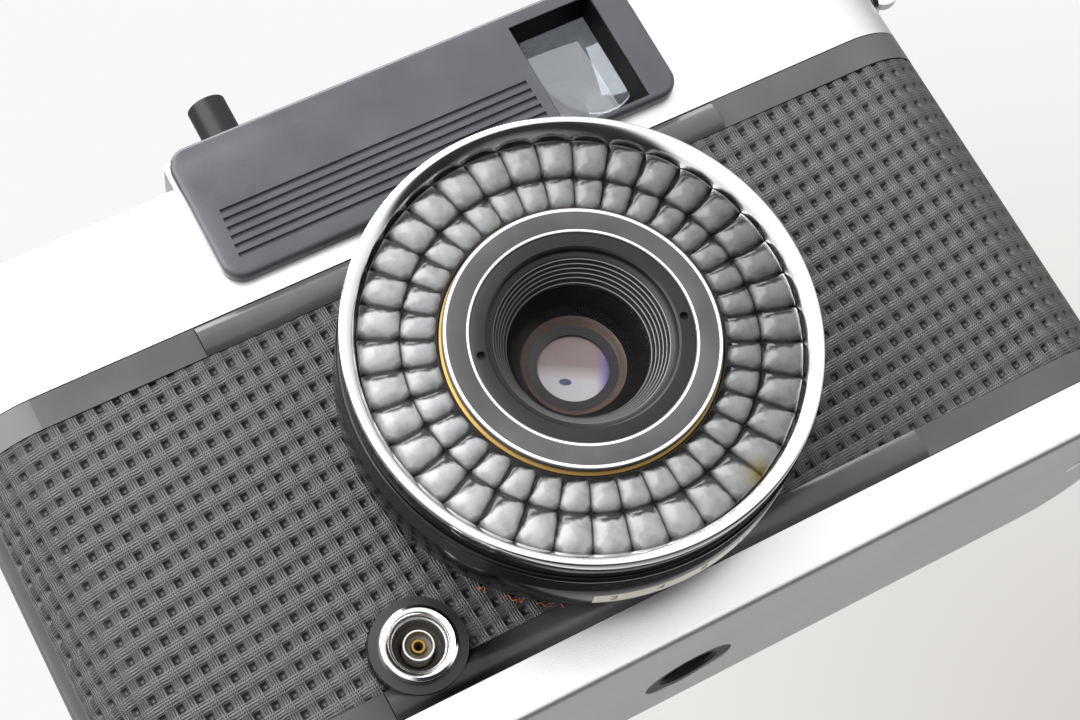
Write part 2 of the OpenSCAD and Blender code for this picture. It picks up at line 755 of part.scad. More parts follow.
module shutter_plate() {
    bore = 3.5;
    color([0.3, 0.3, 0.3]) {
        // rear plate with the skirt and the boss of the rear element
        lens_tube(15.7, shutter_y + 1.3, shutter_y + 2.5, bore);
        lens_tube(15.7, shutter_y + 2.4, shutter_y + 7.3, 14.6);
        lens_tube(5.9, shutter_y + 2.4, shutter_y + 7.4, 4.66);
        // front plate and the wall around the blades
        lens_tube(13.6, shutter_y - 1.2, shutter_y - 0.4, bore);
        lens_tube(13.6, shutter_y - 0.5, shutter_y + 1.4, 13);
        for (sx = [-1, 1])
            translate([sx * blade_x, shutter_y + 1.4, axis_z + blade_z]) rotate([90, 0, 0])
                cylinder(r = 0.5, h = 2);
    }
}

// The right hand leaf of the shutter, from y0 to y0 + 0.25.
module shutter_leaf(y0) {
    color([0.15, 0.15, 0.16]) translate([0, y0 + 0.25, axis_z]) rotate([90, 0, 0]) linear_extrude(0.25)
        difference() {
            union() {
                translate([leaf_x, 0]) circle(4.4);
                translate([blade_x, blade_z]) circle(1.3);
                translate([leaf_x, 0]) rotate(atan2(blade_z, blade_x - leaf_x)) translate([0, -1.2])
                    square([norm([blade_x - leaf_x, blade_z]), 2.4]);
            }
            translate([blade_x, blade_z]) circle(0.55);
        }
}

module shutter_blade_left() { mirror([1, 0, 0]) shutter_leaf(shutter_y + 0.05); }

module shutter_blade_right() { shutter_leaf(shutter_y + 0.6); }

module warning_flag() {
    y = front_y + 3.9;
    color([0.8, 0.1, 0.08]) {
        box([flag_x, y, flag_z - 0.9], [15, y + 0.3, flag_z - 0.2]);
        box([14.9, y, flag_z - 1.6], [21, y + 0.3, flag_z + 0.2]);
        translate([flag_x, y + 0.3, flag_z]) rotate([90, 0, 0]) cylinder(r = 1.1, h = 0.3);
        translate([flag_x, front_y + 6.4, flag_z]) rotate([90, 0, 0]) cylinder(r = 0.6, h = 2.3);
    }
}

// ---------- sync socket ----------

module sync_socket() {
    color([0.85, 0.85, 0.85]) translate([socket_x, 0, socket_z]) rotate([90, 0, 0]) difference() {
        union() {
            translate([0, 0, -front_y + 1.02]) cylinder(r = 3.85, h = 0.9);
            translate([0, 0, -front_y - 4.2]) cylinder(r = 3.2, h = 5.4);
        }
        translate([0, 0, -front_y - 1.4]) cylinder(r = 2.75, h = 6);
        translate([0, 0, -front_y - 6]) cylinder(r = 2, h = 8);
    }
}

module sync_insulator() {
    color([0.35, 0.33, 0.3]) translate([socket_x, 0, socket_z]) rotate([90, 0, 0]) difference() {
        union() {
            translate([0, 0, -front_y - 4]) cylinder(r = 1.97, h = 2.7);
            translate([0, 0, -front_y - 1.35]) cylinder(r = 1.5, h = 1.9);
        }
        translate([0, 0, -front_y - 5]) cylinder(r = 0.55, h = 8);
        translate([0, 0, -front_y + 0.2]) cylinder(r = 1, h = 2);
    }
}

module sync_pin() {
    color([0.8, 0.7, 0.4]) translate([socket_x, 0, socket_z]) rotate([90, 0, 0])
        translate([0, 0, -front_y - 4.4]) cylinder(r = 0.5, h = 4.3);
}

// ---------- base fittings ----------

module tripod_bush() {
    color([0.7, 0.7, 0.7]) translate([tripod_x, tripod_y, 0.15]) difference() {
        union() {
            cylinder(r = 5, h = 4.6);
            translate([0, 0, wall + 0.05]) cylinder(r = 7, h = 1);
        }
        translate([0, 0, -1]) cylinder(r = tripod_r, h = 6);
        translate([0, 0, -0.01]) cylinder(r1 = tripod_r + 0.35, r2 = tripod_r, h = 0.35);
    }
}

module rewind_release() {
    color([0.75, 0.75, 0.76]) difference() {
        union() {
            post(release_x, release_y, 0.35, 2.6, 2.5);
            post(release_x, release_y, 2.5, 3.2, 3.4);
        }
        translate([release_x, release_y, -1.4]) sphere(r = 2.4);
    }
}

module strap_lugs() {
    color([0.8, 0.8, 0.82]) for (sx = [-1, 1])
        translate([sx * body_w / 2, lug_y, lug_z]) rotate([0, sx * 90, 0]) difference() {
            union() {
                translate([0, 0, -2.6]) cylinder(r = 1.4, h = 3.4);
                translate([0, 0, 0.05]) cylinder(r = 2.3, h = 0.6);
                translate([0, -0.6, 2.35]) rotate([-90, 0, 0]) cylinder(r = 1.95, h = 1.2);
                box([-1.4, -0.6, 0.1], [1.4, 0.6, 2.4]);
            }
            translate([0, -2, 2.6]) rotate([-90, 0, 0]) cylinder(r = 0.95, h = 4);
        }
}

module base_screws() {
    color([0.7, 0.7, 0.72]) for (sx = [-1, 1])
        translate([sx * screw_x, screw_y, 0.2]) difference() {
            union() {
                cylinder(r = 1.3, h = 0.7);
                cylinder(r = 0.7, h = 6.2);
            }
            box([-2, -0.2, -1], [2, 0.2, 0.3]);
        }
}

// ---------- back ----------

module back_cover() {
    z0 = base_h + 0.15;
    z1 = top_z - 0.15;
    color([0.1, 0.1, 0.11]) difference() {
        union() {
            difference() {
                translate([0, 0, z0]) linear_extrude(z1 - z0) difference() {
                    plan(0);
                    plan(1.5);
                }
                box([-80, -40, 0], [80, seam_y + 0.15, 80]);
            }
            post(hinge_x, hinge_y, z0, knuckle_z0, hinge_r);
            post(hinge_x, hinge_y, knuckle_z1, z1, hinge_r);
        }
        post(hinge_x, hinge_y, 0, 80, 0.65);
        // room for the casting's knuckle
        box([-60, seam_y - 1, knuckle_z0], [hinge_x + hinge_r + 0.5, hinge_y + hinge_r + 0.4, knuckle_z1]);
        // the step that the back covering is glued into
        box([-body_w / 2 + corner_r + 1, back_y - 0.6, z0 + 1.6],
            [body_w / 2 - corner_r - 1, back_y + 1, z1 - 1.6]);
    }
}

module back_leatherette() {
    color([0.16, 0.16, 0.17])
        box([-body_w / 2 + corner_r + 1.1, back_y - 0.58, base_h + 1.9],
            [body_w / 2 - corner_r - 1.1, back_y + 0.1, top_z - 1.9]);
}

module hinge_pin() {
    color([0.7, 0.7, 0.7]) post(hinge_x, hinge_y, base_h + 0.2, top_z - 0.2, 0.6);
}

module back_latch() {
    x1 = body_w / 2;
    color([0.75, 0.75, 0.76]) {
        box([x1 - 1.4, seam_y - 4, latch_z - 1.8], [x1 + 0.6, seam_y - 0.8, latch_z + 1.8]);
        box([x1 - 2.4, seam_y - 4.2, latch_z - 2.6], [x1 - 1.3, seam_y - 0.4, latch_z + 2.2]);
    }
}

module pressure_plate() {
    color([0.1, 0.1, 0.1]) difference() {
        box([-17, film_y + 0.2, axis_z - 15], [19, film_y + 1.1, axis_z + 15]);
        for (z = [-10, 0, 10])
            box([-1, film_y, axis_z + z - 1], [3, film_y + 2, axis_z + z + 1]);
    }
}

module pressure_spring() {
    y0 = film_y + 1.1;
    y1 = back_y - 2.2;
    color([0.7, 0.7, 0.72]) for (x = [-9, 5])
        rotate([90, 0, 90]) translate([0, 0, x]) linear_extrude(6)
            polygon([[y0, axis_z - 9], [y0 + 0.25, axis_z - 9], [y1, axis_z - 1], [y1, axis_z + 1],
                [y0 + 0.25, axis_z + 9], [y0, axis_z + 9], [y1 - 0.35, axis_z + 0.8],
                [y1 - 0.35, axis_z - 0.8]]);
}

module light_seals() {
    x0 = body_w / 2 - 3.05;
    x1 = body_w / 2 - 1.55;
    color([0.03, 0.03, 0.03]) {
        box([x0, seam_y + 2.2, 9], [x1, seam_y + 4, 46]);
        box([-x1, seam_y + 2.2, 9], [-x0, seam_y + 4, 46]);
    }
}

main_casting();
front_plate();
leatherette_left();
leatherette_right();
top_cover();
bottom_cover();
nameplate();
finder_window();
finder_tube();
finder_front_lens();
finder_rear_lens();
eyepiece_frame();
accessory_shoe();
shoe_contact();
shoe_screws();
rewind_knob();
rewind_crank();
crank_pin();
rewind_fork();
counter_dial();
counter_window();
advance_wheel();
advance_gear();
sprocket_gear();
sprocket();
take_up_spool();
shutter_button();
button_collar();
button_spring();
barrel_neck();
aperture_ring();
film_speed_ring();
lens_housing();
front_bezel();
selenium_cell();
bubble_lens();
name_ring();
cell_trim_ring();
lens_hood_ring();
front_element();
rear_element();
lens_cell();
shutter_plate();
shutter_blade_left();
shutter_blade_right();
warning_flag();
sync_socket();
sync_insulator();
sync_pin();
tripod_bush();
rewind_release();
strap_lugs();
back_cover();
back_leatherette();
hinge_pin();
back_latch();
pressure_plate();
pressure_spring();
light_seals();
base_screws();
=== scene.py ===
"""Looks of a half frame camera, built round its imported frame.

Lengths in the classes are millimetres. The frame's own axes hold: +Z up, the lens looks along -Y, and the
origin is on the base.
"""

import logging
import math
from dataclasses import dataclass, field
from enum import Enum
from typing import Callable, Iterable, Sequence

import bmesh
import bpy
import numpy as np
from mathutils import Matrix, Vector


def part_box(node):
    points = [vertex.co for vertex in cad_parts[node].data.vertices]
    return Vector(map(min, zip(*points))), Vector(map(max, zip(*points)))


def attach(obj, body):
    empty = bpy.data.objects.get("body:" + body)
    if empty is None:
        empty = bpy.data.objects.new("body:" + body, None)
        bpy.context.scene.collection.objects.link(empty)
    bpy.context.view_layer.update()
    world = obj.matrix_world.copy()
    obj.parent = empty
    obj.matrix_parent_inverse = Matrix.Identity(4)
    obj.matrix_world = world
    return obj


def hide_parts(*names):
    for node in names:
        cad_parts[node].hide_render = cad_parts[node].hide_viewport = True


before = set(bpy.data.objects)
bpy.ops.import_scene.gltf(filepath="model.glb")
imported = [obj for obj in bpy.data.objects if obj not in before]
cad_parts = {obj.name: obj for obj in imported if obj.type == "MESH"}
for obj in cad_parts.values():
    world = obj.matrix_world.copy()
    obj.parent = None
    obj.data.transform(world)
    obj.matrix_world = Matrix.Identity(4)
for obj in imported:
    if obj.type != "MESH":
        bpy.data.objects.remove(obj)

LOG = logging.getLogger("half_frame_camera")
MM = 0.001
FULL_TURN = 2 * math.pi
LENS_AXIS = Vector((0, 0, 27.5)) * MM
ACROSS_LENS = (1, 0, 1)
Profile = Sequence[tuple[float, float]]
Colour = tuple[float, float, float]
Socket = bpy.types.NodeSocket
Mesh = bmesh.types.BMesh
Piece = bpy.types.Object
Material = bpy.types.Material


class Body(Enum):
    """The frame's bodies that new pieces ride on."""

    BODY = "body"
    DOOR = "back_door"
    APERTURE = "aperture_dial"
    SPEED = "speed_dial"


class Slot(Enum):
    """Material slot names that the calls below pass along with each new piece."""

    SATIN_CHROME = "satin_chrome"
    CHROME = "bright_chrome"
    ENAMEL = "black_enamel"
    LEATHERETTE = "leatherette"
    SLATE = "slate_enamel"
    CLEAR = "clear_plastic"
    GLASS = "coated_glass"
    ANODISED = "black_anodised"
    STEEL = "bright_steel"
    BRASS = "brass"


# ---------------------------------------------------------------- node graphs


class Graph:
    """A material's node tree with short calls for the nodes that the finishes share."""

    def __init__(self, name: str) -> None:
        """Starts a material with a Principled shader.

        Args:
            name: the material's name.
        """
        self.material = bpy.data.materials.new(name)
        self.material.use_nodes = True
        self.nodes = self.material.node_tree.nodes
        self.links = self.material.node_tree.links
        self.shader = self.nodes["Principled BSDF"]

    def set(self, **values: object) -> None:
        """Sets the shader's own sockets.

        Args:
            **values: each socket's value, with underscores for the spaces in its name.
        """
        for name, value in values.items():
            if isinstance(value, tuple):
                value = (*value, 1.0)
            self.shader.inputs[name.replace("_", " ")].default_value = value

    def place(self, uv: bool = False) -> Socket:
        """Returns the coordinates that a pattern follows.

        Args:
            uv: whether they are the piece's UV map.

        Returns:
            The UV map, or else the Object coordinates.
        """
        if uv:
            return self.nodes.new("ShaderNodeUVMap").outputs["UV"]
        return self.nodes.new("ShaderNodeTexCoord").outputs["Object"]

    def moved(self, shift: Vector, scale: Sequence[float] = (1, 1, 1)) -> Socket:
        """Returns the Object coordinates, scaled and moved.

        Args:
            shift: what is added to them, in metres.
            scale: a factor for each axis.

        Returns:
            The new coordinates.
        """
        node = self.nodes.new("ShaderNodeMapping")
        node.inputs["Location"].default_value = shift
        node.inputs["Scale"].default_value = scale
        self.links.new(self.place(), node.inputs["Vector"])
        return node.outputs["Vector"]

    def distance(self, centre: Vector, scale: Sequence[float] = (1, 1, 1)) -> Socket:
        """Returns the distance from a point.

        Args:
            centre: the point, in metres.
            scale: a factor for each axis, 0 for an axis that doesn't count.

        Returns:
            The distance in metres.
        """
        length = self.nodes.new("ShaderNodeVectorMath")
        length.operation = "LENGTH"
        shift = Vector([-part * factor for part, factor in zip(centre, scale)])
        self.links.new(self.moved(shift, scale), length.inputs[0])
        return length.outputs["Value"]

    def dot(self, vector: Socket, direction: Sequence[float]) -> Socket:
        """Returns the part of a vector along a direction.

        Args:
            vector: the vector.
            direction: the direction.

        Returns:
            The dot product.
        """
        node = self.nodes.new("ShaderNodeVectorMath")
        node.operation = "DOT_PRODUCT"
        node.inputs[1].default_value = direction
        self.links.new(vector, node.inputs[0])
        return node.outputs["Value"]

    def parts(self, vector: Socket) -> bpy.types.NodeOutputs:
        """Returns the X, Y and Z sockets of a vector.

        Args:
            vector: the vector.

        Returns:
            The three sockets by their names.
        """
        node = self.nodes.new("ShaderNodeSeparateXYZ")
        self.links.new(vector, node.inputs[0])
        return node.outputs

    def noise(self, vector: Socket, size: float, detail: float = 3) -> Socket:
        """Returns a noise whose features are about size millimetres.

        Args:
            vector: the coordinates in metres.
            size: the grain's size.
            detail: the number of octaves.

        Returns:
            The noise, from 0 to 1.
        """
        node = self.nodes.new("ShaderNodeTexNoise")
        node.inputs["Scale"].default_value = 1 / (size * MM)
        node.inputs["Detail"].default_value = detail
        self.links.new(vector, node.inputs["Vector"])
        return node.outputs["Fac"]

    def math(self, operation: str, first: object, second: object = 0.0,
             third: object = 0.0) -> Socket:
        """Returns the result of one Math node.

        Args:
            operation: the node's operation.
            first: a socket or a number.
            second: a socket or a number.
            third: a socket or a number.

        Returns:
            The node's result.
        """
        node = self.nodes.new("ShaderNodeMath")
        node.operation = operation
        for index, value in enumerate((first, second, third)):
            if isinstance(value, Socket):
                self.links.new(value, node.inputs[index])
            else:
                node.inputs[index].default_value = value
        return node.outputs[0]

    def mix(self, factor: object, first: object, second: object, blend: str = "MIX") -> Socket:
        """Returns the mix of two colours.

        Args:
            factor: the share of the second one, a socket or a number.
            first: a socket or a colour.
            second: a socket or a colour.
            blend: how they are blended.

        Returns:
            The mixed colour.
        """
        node = self.nodes.new("ShaderNodeMix")
        node.data_type = "RGBA"
        node.blend_type = blend
        for name, value in (("Factor", factor), ("A", first), ("B", second)):
            if isinstance(value, Socket):
                self.links.new(value, node.inputs[name])
            else:
                node.inputs[name].default_value = (*value, 1) if isinstance(value, tuple) else value
        return node.outputs["Result"]

    def ramp(self, factor: Socket, stops: Sequence[tuple[float, Colour]]) -> Socket:
        """Returns a colour ramp over factor.

        Args:
            factor: the value that is looked up.
            stops: each stop's place and colour.

        Returns:
            The ramp's colour.
        """
        node = self.nodes.new("ShaderNodeValToRGB")
        elements = node.color_ramp.elements
        while len(elements) < len(stops):
            elements.new(0.5)
        for element, (place, colour) in zip(elements, stops):
            element.position = place
            element.color = (*colour, 1)
        self.links.new(factor, node.inputs["Fac"])
        return node.outputs["Color"]

    def span(self, value: Socket, low: float, high: float, to_low: float, to_high: float) -> Socket:
        """Returns a value that is mapped from one range to another and held at its ends.

        Args:
            value: the value.
            low: the first range's start.
            high: the first range's end.
            to_low: the second range's start.
            to_high: the second range's end.

        Returns:
            The mapped value.
        """
        node = self.nodes.new("ShaderNodeMapRange")
        self.links.new(value, node.inputs["Value"])
        ends = {"From Min": low, "From Max": high, "To Min": to_low, "To Max": to_high}
        for name, number in ends.items():
            node.inputs[name].default_value = number
        return node.outputs["Result"]

    def bump(self, height: Socket, depth: float) -> None:
        """Gives the shader a bump.

        Args:
            height: the height, from 0 to 1.
            depth: the relief in millimetres.
        """
        node = self.nodes.new("ShaderNodeBump")
        node.inputs["Distance"].default_value = depth * MM
        self.links.new(height, node.inputs["Height"])
        self.links.new(node.outputs["Normal"], self.shader.inputs["Normal"])

    def feed(self, socket: Socket, name: str) -> None:
        """Links a socket to the shader's input of that name."""
        self.links.new(socket, self.shader.inputs[name])

    def clear_behind(self) -> None:
        """Makes the material clear on the faces' back sides."""
        clear = self.nodes.new("ShaderNodeBsdfTransparent")
        side = self.nodes.new("ShaderNodeNewGeometry")
        mix = self.nodes.new("ShaderNodeMixShader")
        self.links.new(side.outputs["Backfacing"], mix.inputs["Fac"])
        self.links.new(self.shader.outputs["BSDF"], mix.inputs[1])
        self.links.new(clear.outputs["BSDF"], mix.inputs[2])
        self.links.new(mix.outputs["Shader"], self.nodes["Material Output"].inputs["Surface"])


class SkyGraph(Graph):
    """The world's node tree, with the same short calls."""

    def __init__(self, name: str) -> None:
        """Starts a world and makes it the scene's.

        Args:
            name: the world's name.
        """
        world = bpy.data.worlds.new(name)
        world.use_nodes = True
        bpy.context.scene.world = world
        self.nodes = world.node_tree.nodes
        self.links = world.node_tree.links
        self.shader = self.nodes["Background"]

    def fall(self, value: Socket, stops: Sequence[tuple[float, float]]) -> Socket:
        """Returns a brightness that is looked up over one part of a direction.

        Args:
            value: the part, from -1 to 1.
            stops: each stop's place and brightness.

        Returns:
            The brightness.
        """
        factor = self.math("MULTIPLY_ADD", value, 0.5, 0.5)
        return self.ramp(factor, [(place / 2 + 0.5, (light, light, light)) for place, light in stops])


# ---------------------------------------------------------------- finishes


@dataclass(frozen=True)
class PlatedMetal:
    """A plated metal: a fine grain, small tone changes and faint handling marks."""

    name: str
    colour: Colour
    roughness: float
    grain: float = 0.12
    relief: float = 0.004
    spread: float = 0.06

    def build(self) -> Material:
        """Makes the material.

        Returns:
            The material.
        """
        graph = Graph(self.name)
        graph.set(Metallic=1.0, Base_Color=self.colour)
        place = graph.place()
        fine = graph.noise(place, self.grain, 2)
        broad = graph.noise(place, 14, 4)
        rough = graph.math("MULTIPLY_ADD", broad, self.spread, self.roughness - self.spread / 2)
        rough = graph.math("MULTIPLY_ADD", fine, self.spread, rough)
        graph.feed(rough, "Roughness")
        tone = graph.span(broad, 0.3, 0.7, 0.94, 1.0)
        graph.feed(graph.mix(1.0, self.colour, tone, "MULTIPLY"), "Base Color")
        graph.bump(fine, self.relief)
        return graph.material


@dataclass(frozen=True)
class Enamel:
    """A baked enamel or an anodised black: a faint orange peel and a random tone, with, where one is asked
    for, a painted shade that turns it deep black round one place.
    """

    name: str
    colour: Colour
    roughness: float
    peel: float = 0.002
    peel_size: float = 0.6
    specular: float = 0.5
    # The next three fields set an optional painted shade: its middle in millimetres, the distances over
    # which it fades out, and its deep black colour.
    painted_shade_at: tuple[float, float, float] | None = None
    reach: tuple[float, float] = (4.0, 13.0)
    painted_shade_colour: Colour = (0.004, 0.004, 0.004)

    def build(self) -> Material:
        """Makes the material.

        Returns:
            The material.
        """
        graph = Graph(self.name)
        graph.set(Specular_IOR_Level=self.specular)
        place = graph.place()
        fine = graph.noise(place, self.peel_size, 2)
        broad = graph.noise(place, 9, 5)
        light = tuple(min(1.0, channel * 1.35) for channel in self.colour)
        tone = graph.ramp(broad, [(0.35, self.colour), (0.75, light)])
        if self.painted_shade_at is not None:
            tone = self.with_painted_shade(graph, tone)
        graph.feed(tone, "Base Color")
        graph.feed(graph.span(broad, 0.3, 0.7, self.roughness * 0.8, self.roughness * 1.25), "Roughness")
        graph.bump(fine, self.peel)
        return graph.material

    def with_painted_shade(self, graph: Graph, tone: Socket) -> Socket:
        """Returns the colour with a painted shade round one place.

        Args:
            graph: the material's graph.
            tone: the colour outside the painted shade.

        Returns:
            The colour that is deep black near that place, as painted shade.
        """
        # Painted shade: the colour turns deep black near the point and fades back to the tone further out.
        low, high = self.reach
        away_from_shade = graph.span(graph.distance(Vector(self.painted_shade_at) * MM), low * MM, high * MM, 0, 1)
        return graph.mix(away_from_shade, self.painted_shade_colour, tone)


@dataclass(frozen=True)
class Glazing:
    """A clear glass or plastic."""

    name: str
    colour: Colour
    roughness: float = 0.02
    ior: float = 1.5
    transmission: float = 1.0
    film: float = 0.0
    mirror: float = 0.0

    def build(self) -> Material:
        """Makes the material.

        Returns:
            The material.
        """
        graph = Graph(self.name)
        graph.set(Base_Color=self.colour, Roughness=self.roughness, IOR=self.ior,
                  Transmission_Weight=self.transmission, Metallic=self.mirror)
        if self.film:
            graph.set(Thin_Film_Thickness=self.film, Thin_Film_IOR=1.38)
        return graph.material


@dataclass(frozen=True)
class EmbossedLeather:
    """The covering: bundles of fine threads that cross between the moulded pits."""

    name: str = "embossed_leatherette"
    # dark is the colour of the painted shade in the pits and grooves, light the colour on the threads.
    dark: Colour = (0.014, 0.014, 0.015)
    light: Colour = (0.078, 0.078, 0.081)
    threads: float = 7.0
    bundle: float = 0.19
    relief: float = 0.075

    def bundle_of(self, graph: Graph, across: Socket, wobble: Socket) -> Socket:
        """Returns the height of the threads that run along one direction.

        Args:
            graph: the material's graph.
            across: the lattice coordinate across the threads.
            wobble: a noise that bends them.

        Returns:
            The height, from 0 to 1.
        """
        bent = graph.math("MULTIPLY_ADD", wobble, 0.10, across)
        wave = graph.math("PINGPONG", graph.math("MULTIPLY", bent, self.threads), 0.5)
        from_pit = graph.math("PINGPONG", across, 0.5)
        inside = graph.span(from_pit, self.bundle - 0.03, self.bundle + 0.03, 0, 1)
        return graph.math("MULTIPLY", graph.math("MULTIPLY", wave, 2.0), inside)

    def build(self) -> Material:
        """Makes the material.

        Returns:
            The material.
        """
        graph = Graph(self.name)
        graph.set(Specular_IOR_Level=0.6)
        lattice = graph.parts(graph.place(uv=True))
        wobble = graph.noise(graph.place(), 1.1, 2)
        along = self.bundle_of(graph, lattice["X"], wobble)
        upward = self.bundle_of(graph, lattice["Y"], wobble)
        weave = graph.math("MAXIMUM", along, upward)
        grain = graph.noise(graph.place(), 0.2, 3)
        broad = graph.noise(graph.place(), 12, 3)
        height = graph.math("MULTIPLY_ADD", grain, 0.35, weave)
        # The colour is darker in the pits and in the grooves between the threads and lighter on the
        # threads: painted shade, over a random broad tone.
        shade = graph.math("MULTIPLY_ADD", broad, 0.35, graph.math("MULTIPLY", weave, 0.65))
        graph.feed(graph.ramp(shade, [(0.1, self.dark), (0.8, self.light)]), "Base Color")
        graph.feed(graph.span(broad, 0.3, 0.7, 0.34, 0.46), "Roughness")
        graph.bump(height, self.relief)
        return graph.material


@dataclass(frozen=True)
class RingedEnamel:
    """The name ring's black with two fine white rings round the lens axis."""

    name: str = "ringed_enamel"
    colour: Colour = (0.060, 0.060, 0.062)
    white: Colour = (0.86, 0.86, 0.84)
    rings: tuple[tuple[float, float], ...] = ((12.98, 13.26), (10.86, 11.08))

    def build(self) -> Material:
        """Makes the material.

        Returns:
            The material.
        """
        graph = Graph(self.name)
        radius = graph.distance(LENS_AXIS, ACROSS_LENS)
        mask: object = 0.0
        for low, high in self.rings:
            inside = graph.math("LESS_THAN", radius, high * MM)
            outside = graph.math("GREATER_THAN", radius, low * MM)
            mask = graph.math("ADD", mask, graph.math("MULTIPLY", inside, outside))
        broad = graph.noise(graph.place(), 5, 4)
        worn = tuple(channel * 1.5 for channel in self.colour)
        graph.set(Specular_IOR_Level=0.35)
        black = graph.ramp(broad, [(0.3, self.colour), (0.7, worn)])
        graph.feed(graph.mix(mask, black, self.white), "Base Color")
        graph.feed(graph.span(broad, 0.3, 0.7, 0.3, 0.42), "Roughness")
        graph.bump(graph.noise(graph.place(), 0.15, 2), 0.002)
        return graph.material


@dataclass(frozen=True)
class TurnedMetal:
    """A plated metal with the fine rings that a lathe leaves round the lens axis."""

    name: str
    colour: Colour
    roughness: float = 0.14
    pitch: float = 0.07
    relief: float = 0.003

    def build(self) -> Material:
        """Makes the material.

        Returns:
            The material.
        """
        graph = Graph(self.name)
        graph.set(Metallic=1.0, Base_Color=self.colour)
        join = graph.nodes.new("ShaderNodeCombineXYZ")
        graph.links.new(graph.distance(LENS_AXIS, ACROSS_LENS), join.inputs["X"])
        rings = graph.noise(join.outputs["Vector"], self.pitch, 3)
        wear = graph.noise(graph.place(), 3, 4)
        graph.feed(graph.math("MULTIPLY_ADD", wear, 0.08, self.roughness - 0.04), "Roughness")
        graph.bump(graph.math("MULTIPLY_ADD", wear, 0.1, rings), self.relief)
        return graph.material


@dataclass(frozen=True)
class BubblePlastic:
    """The clear bubbles over the grey cell, with painted shade in the gaps and corners between them and on
    their upward sides, and painted light that is brighter on the left and darker on the right.
    """

    name: str = "bubble_plastic"
    clear: Colour = (0.60, 0.61, 0.615)
    # gap is the colour of the painted shade between the bubbles.
    gap: Colour = (0.035, 0.037, 0.038)
    amber: Colour = (0.50, 0.36, 0.04)
    cement: Vector = field(default_factory=lambda: Vector((8.2, -22.3, 8.2)) * MM)
    cement_size: float = 2.0
    # The next field is the upward direction whose facing sides get a painted shadow; the two after it give
    # the half width and the two brightness factors of a painted light, bright on the left and dim on the
    # right.
    sky: tuple[float, float, float] = (0.22, 0.0, 0.97)
    reach: float = 21.0
    painted_side_light: tuple[float, float] = (1.15, 0.36)

    def build(self) -> Material:
        """Makes the material.

        Returns:
            The material.
        """
        graph = Graph(self.name)
        graph.set(Roughness=0.16, IOR=1.47, Transmission_Weight=0.42, Specular_IOR_Level=0.5)
        own = graph.parts(graph.place(uv=True))
        sides = []
        for name in ("X", "Y"):
            off = graph.math("SUBTRACT", own[name], 0.5)
            sides.append(graph.math("MULTIPLY", graph.math("ABSOLUTE", off), 2.0))
        # Painted shade at each bubble's border and corners, where the gaps between bubbles lie.
        border = graph.span(graph.math("MAXIMUM", *sides), 0.90, 1.0, 0, 0.35)
        corner = graph.span(graph.math("ADD", *sides), 1.35, 1.9, 0, 0.9)
        # Painted shadow on the sides that face upwards, under the bezel.
        normal = graph.nodes.new("ShaderNodeNewGeometry").outputs["Normal"]
        facing = graph.dot(normal, self.sky)
        patch = graph.math("MULTIPLY_ADD", graph.noise(graph.place(), 0.9, 3), 0.35, facing)
        upper = graph.span(patch, 0.40, 0.56, 0, 0.8)
        shade = graph.math("MAXIMUM", graph.math("MAXIMUM", border, corner), upper)
        # A random cloudiness of the plastic over the painted shade.
        cloud_and_painted_shade = graph.math("MULTIPLY_ADD", graph.noise(graph.place(), 1.3, 3), 0.5, shade)
        dull = tuple(0.6 * channel for channel in self.clear)
        tone = graph.ramp(cloud_and_painted_shade, [(0.22, self.clear), (0.42, dull), (1.0, self.gap)])
        far = self.cement_size * MM
        glued = graph.span(graph.distance(self.cement), 0.15 * far, far, 0.8, 0)
        mixed = graph.mix(glued, tone, self.amber)
        # Painted light: brighter on the left, darker on the right.
        across = graph.parts(graph.place())["X"]
        painted_side_light = graph.span(across, -self.reach * MM, self.reach * MM, *self.painted_side_light)
        graph.feed(graph.mix(1.0, mixed, painted_side_light, "MULTIPLY"), "Base Color")
        graph.bump(graph.noise(graph.place(), 0.9, 2), 0.03)
        return graph.material


@dataclass(frozen=True)
class IrisDisc:
    """The disc deep in the lens, which glows though it is no lamp: painted reflections, pinkish above, pale
    below and violet on one side, and a painted dark pupil.
    """

    name: str = "iris_disc"
    upper: Colour = (0.125, 0.095, 0.092)
    lower: Colour = (0.25, 0.245, 0.25)
    violet: Colour = (0.075, 0.055, 0.16)
    pupil: Colour = (0.02, 0.025, 0.06)
    down: tuple[float, float] = (-0.496, -0.868)
    across: tuple[float, float] = (0.868, -0.496)
    pupil_at: tuple[float, float] = (-1.25, -0.8)
    # Strength of the disc's painted glow.
    painted_glow: float = 0.22

    def along(self, graph: Graph, direction: tuple[float, float],
              centre: tuple[float, float] = (0, 0)) -> Socket:
        """Returns how far a point lies along a direction across the lens.

        Args:
            graph: the material's graph.
            direction: the direction's x and z.
            centre: the x and z off the axis, in millimetres, that it is counted from.

        Returns:
            The way in millimetres.
        """
        place = graph.moved(Vector((-centre[0], 0, -centre[1])) * MM - LENS_AXIS)
        return graph.dot(place, (direction[0] / MM, 0, direction[1] / MM))

    def build(self) -> Material:
        """Makes the material.

        Returns:
            The material.
        """
        graph = Graph(self.name)
        graph.set(Roughness=0.3, Emission_Strength=self.painted_glow)
        low = graph.span(self.along(graph, self.down), -0.5, 1.1, 0, 1)
        side = graph.span(self.along(graph, self.across), 2.3, 3.3, 0, 1)
        pupil_x = self.along(graph, self.across, self.pupil_at)
        pupil_y = graph.math("MULTIPLY", self.along(graph, self.down, self.pupil_at), 1.7)
        squares = [graph.math("MULTIPLY", part, part) for part in (pupil_x, pupil_y)]
        hole = graph.span(graph.math("ADD", *squares), 0.28, 0.46, 1, 0)
        # Painted reflections and a painted dark pupil, used both as colour and as glow.
        colour = graph.mix(low, self.upper, self.lower)
        colour = graph.mix(side, colour, self.violet)
        colour = graph.mix(hole, colour, self.pupil)
        graph.feed(colour, "Base Color")
        graph.feed(colour, "Emission Color")
        return graph.material


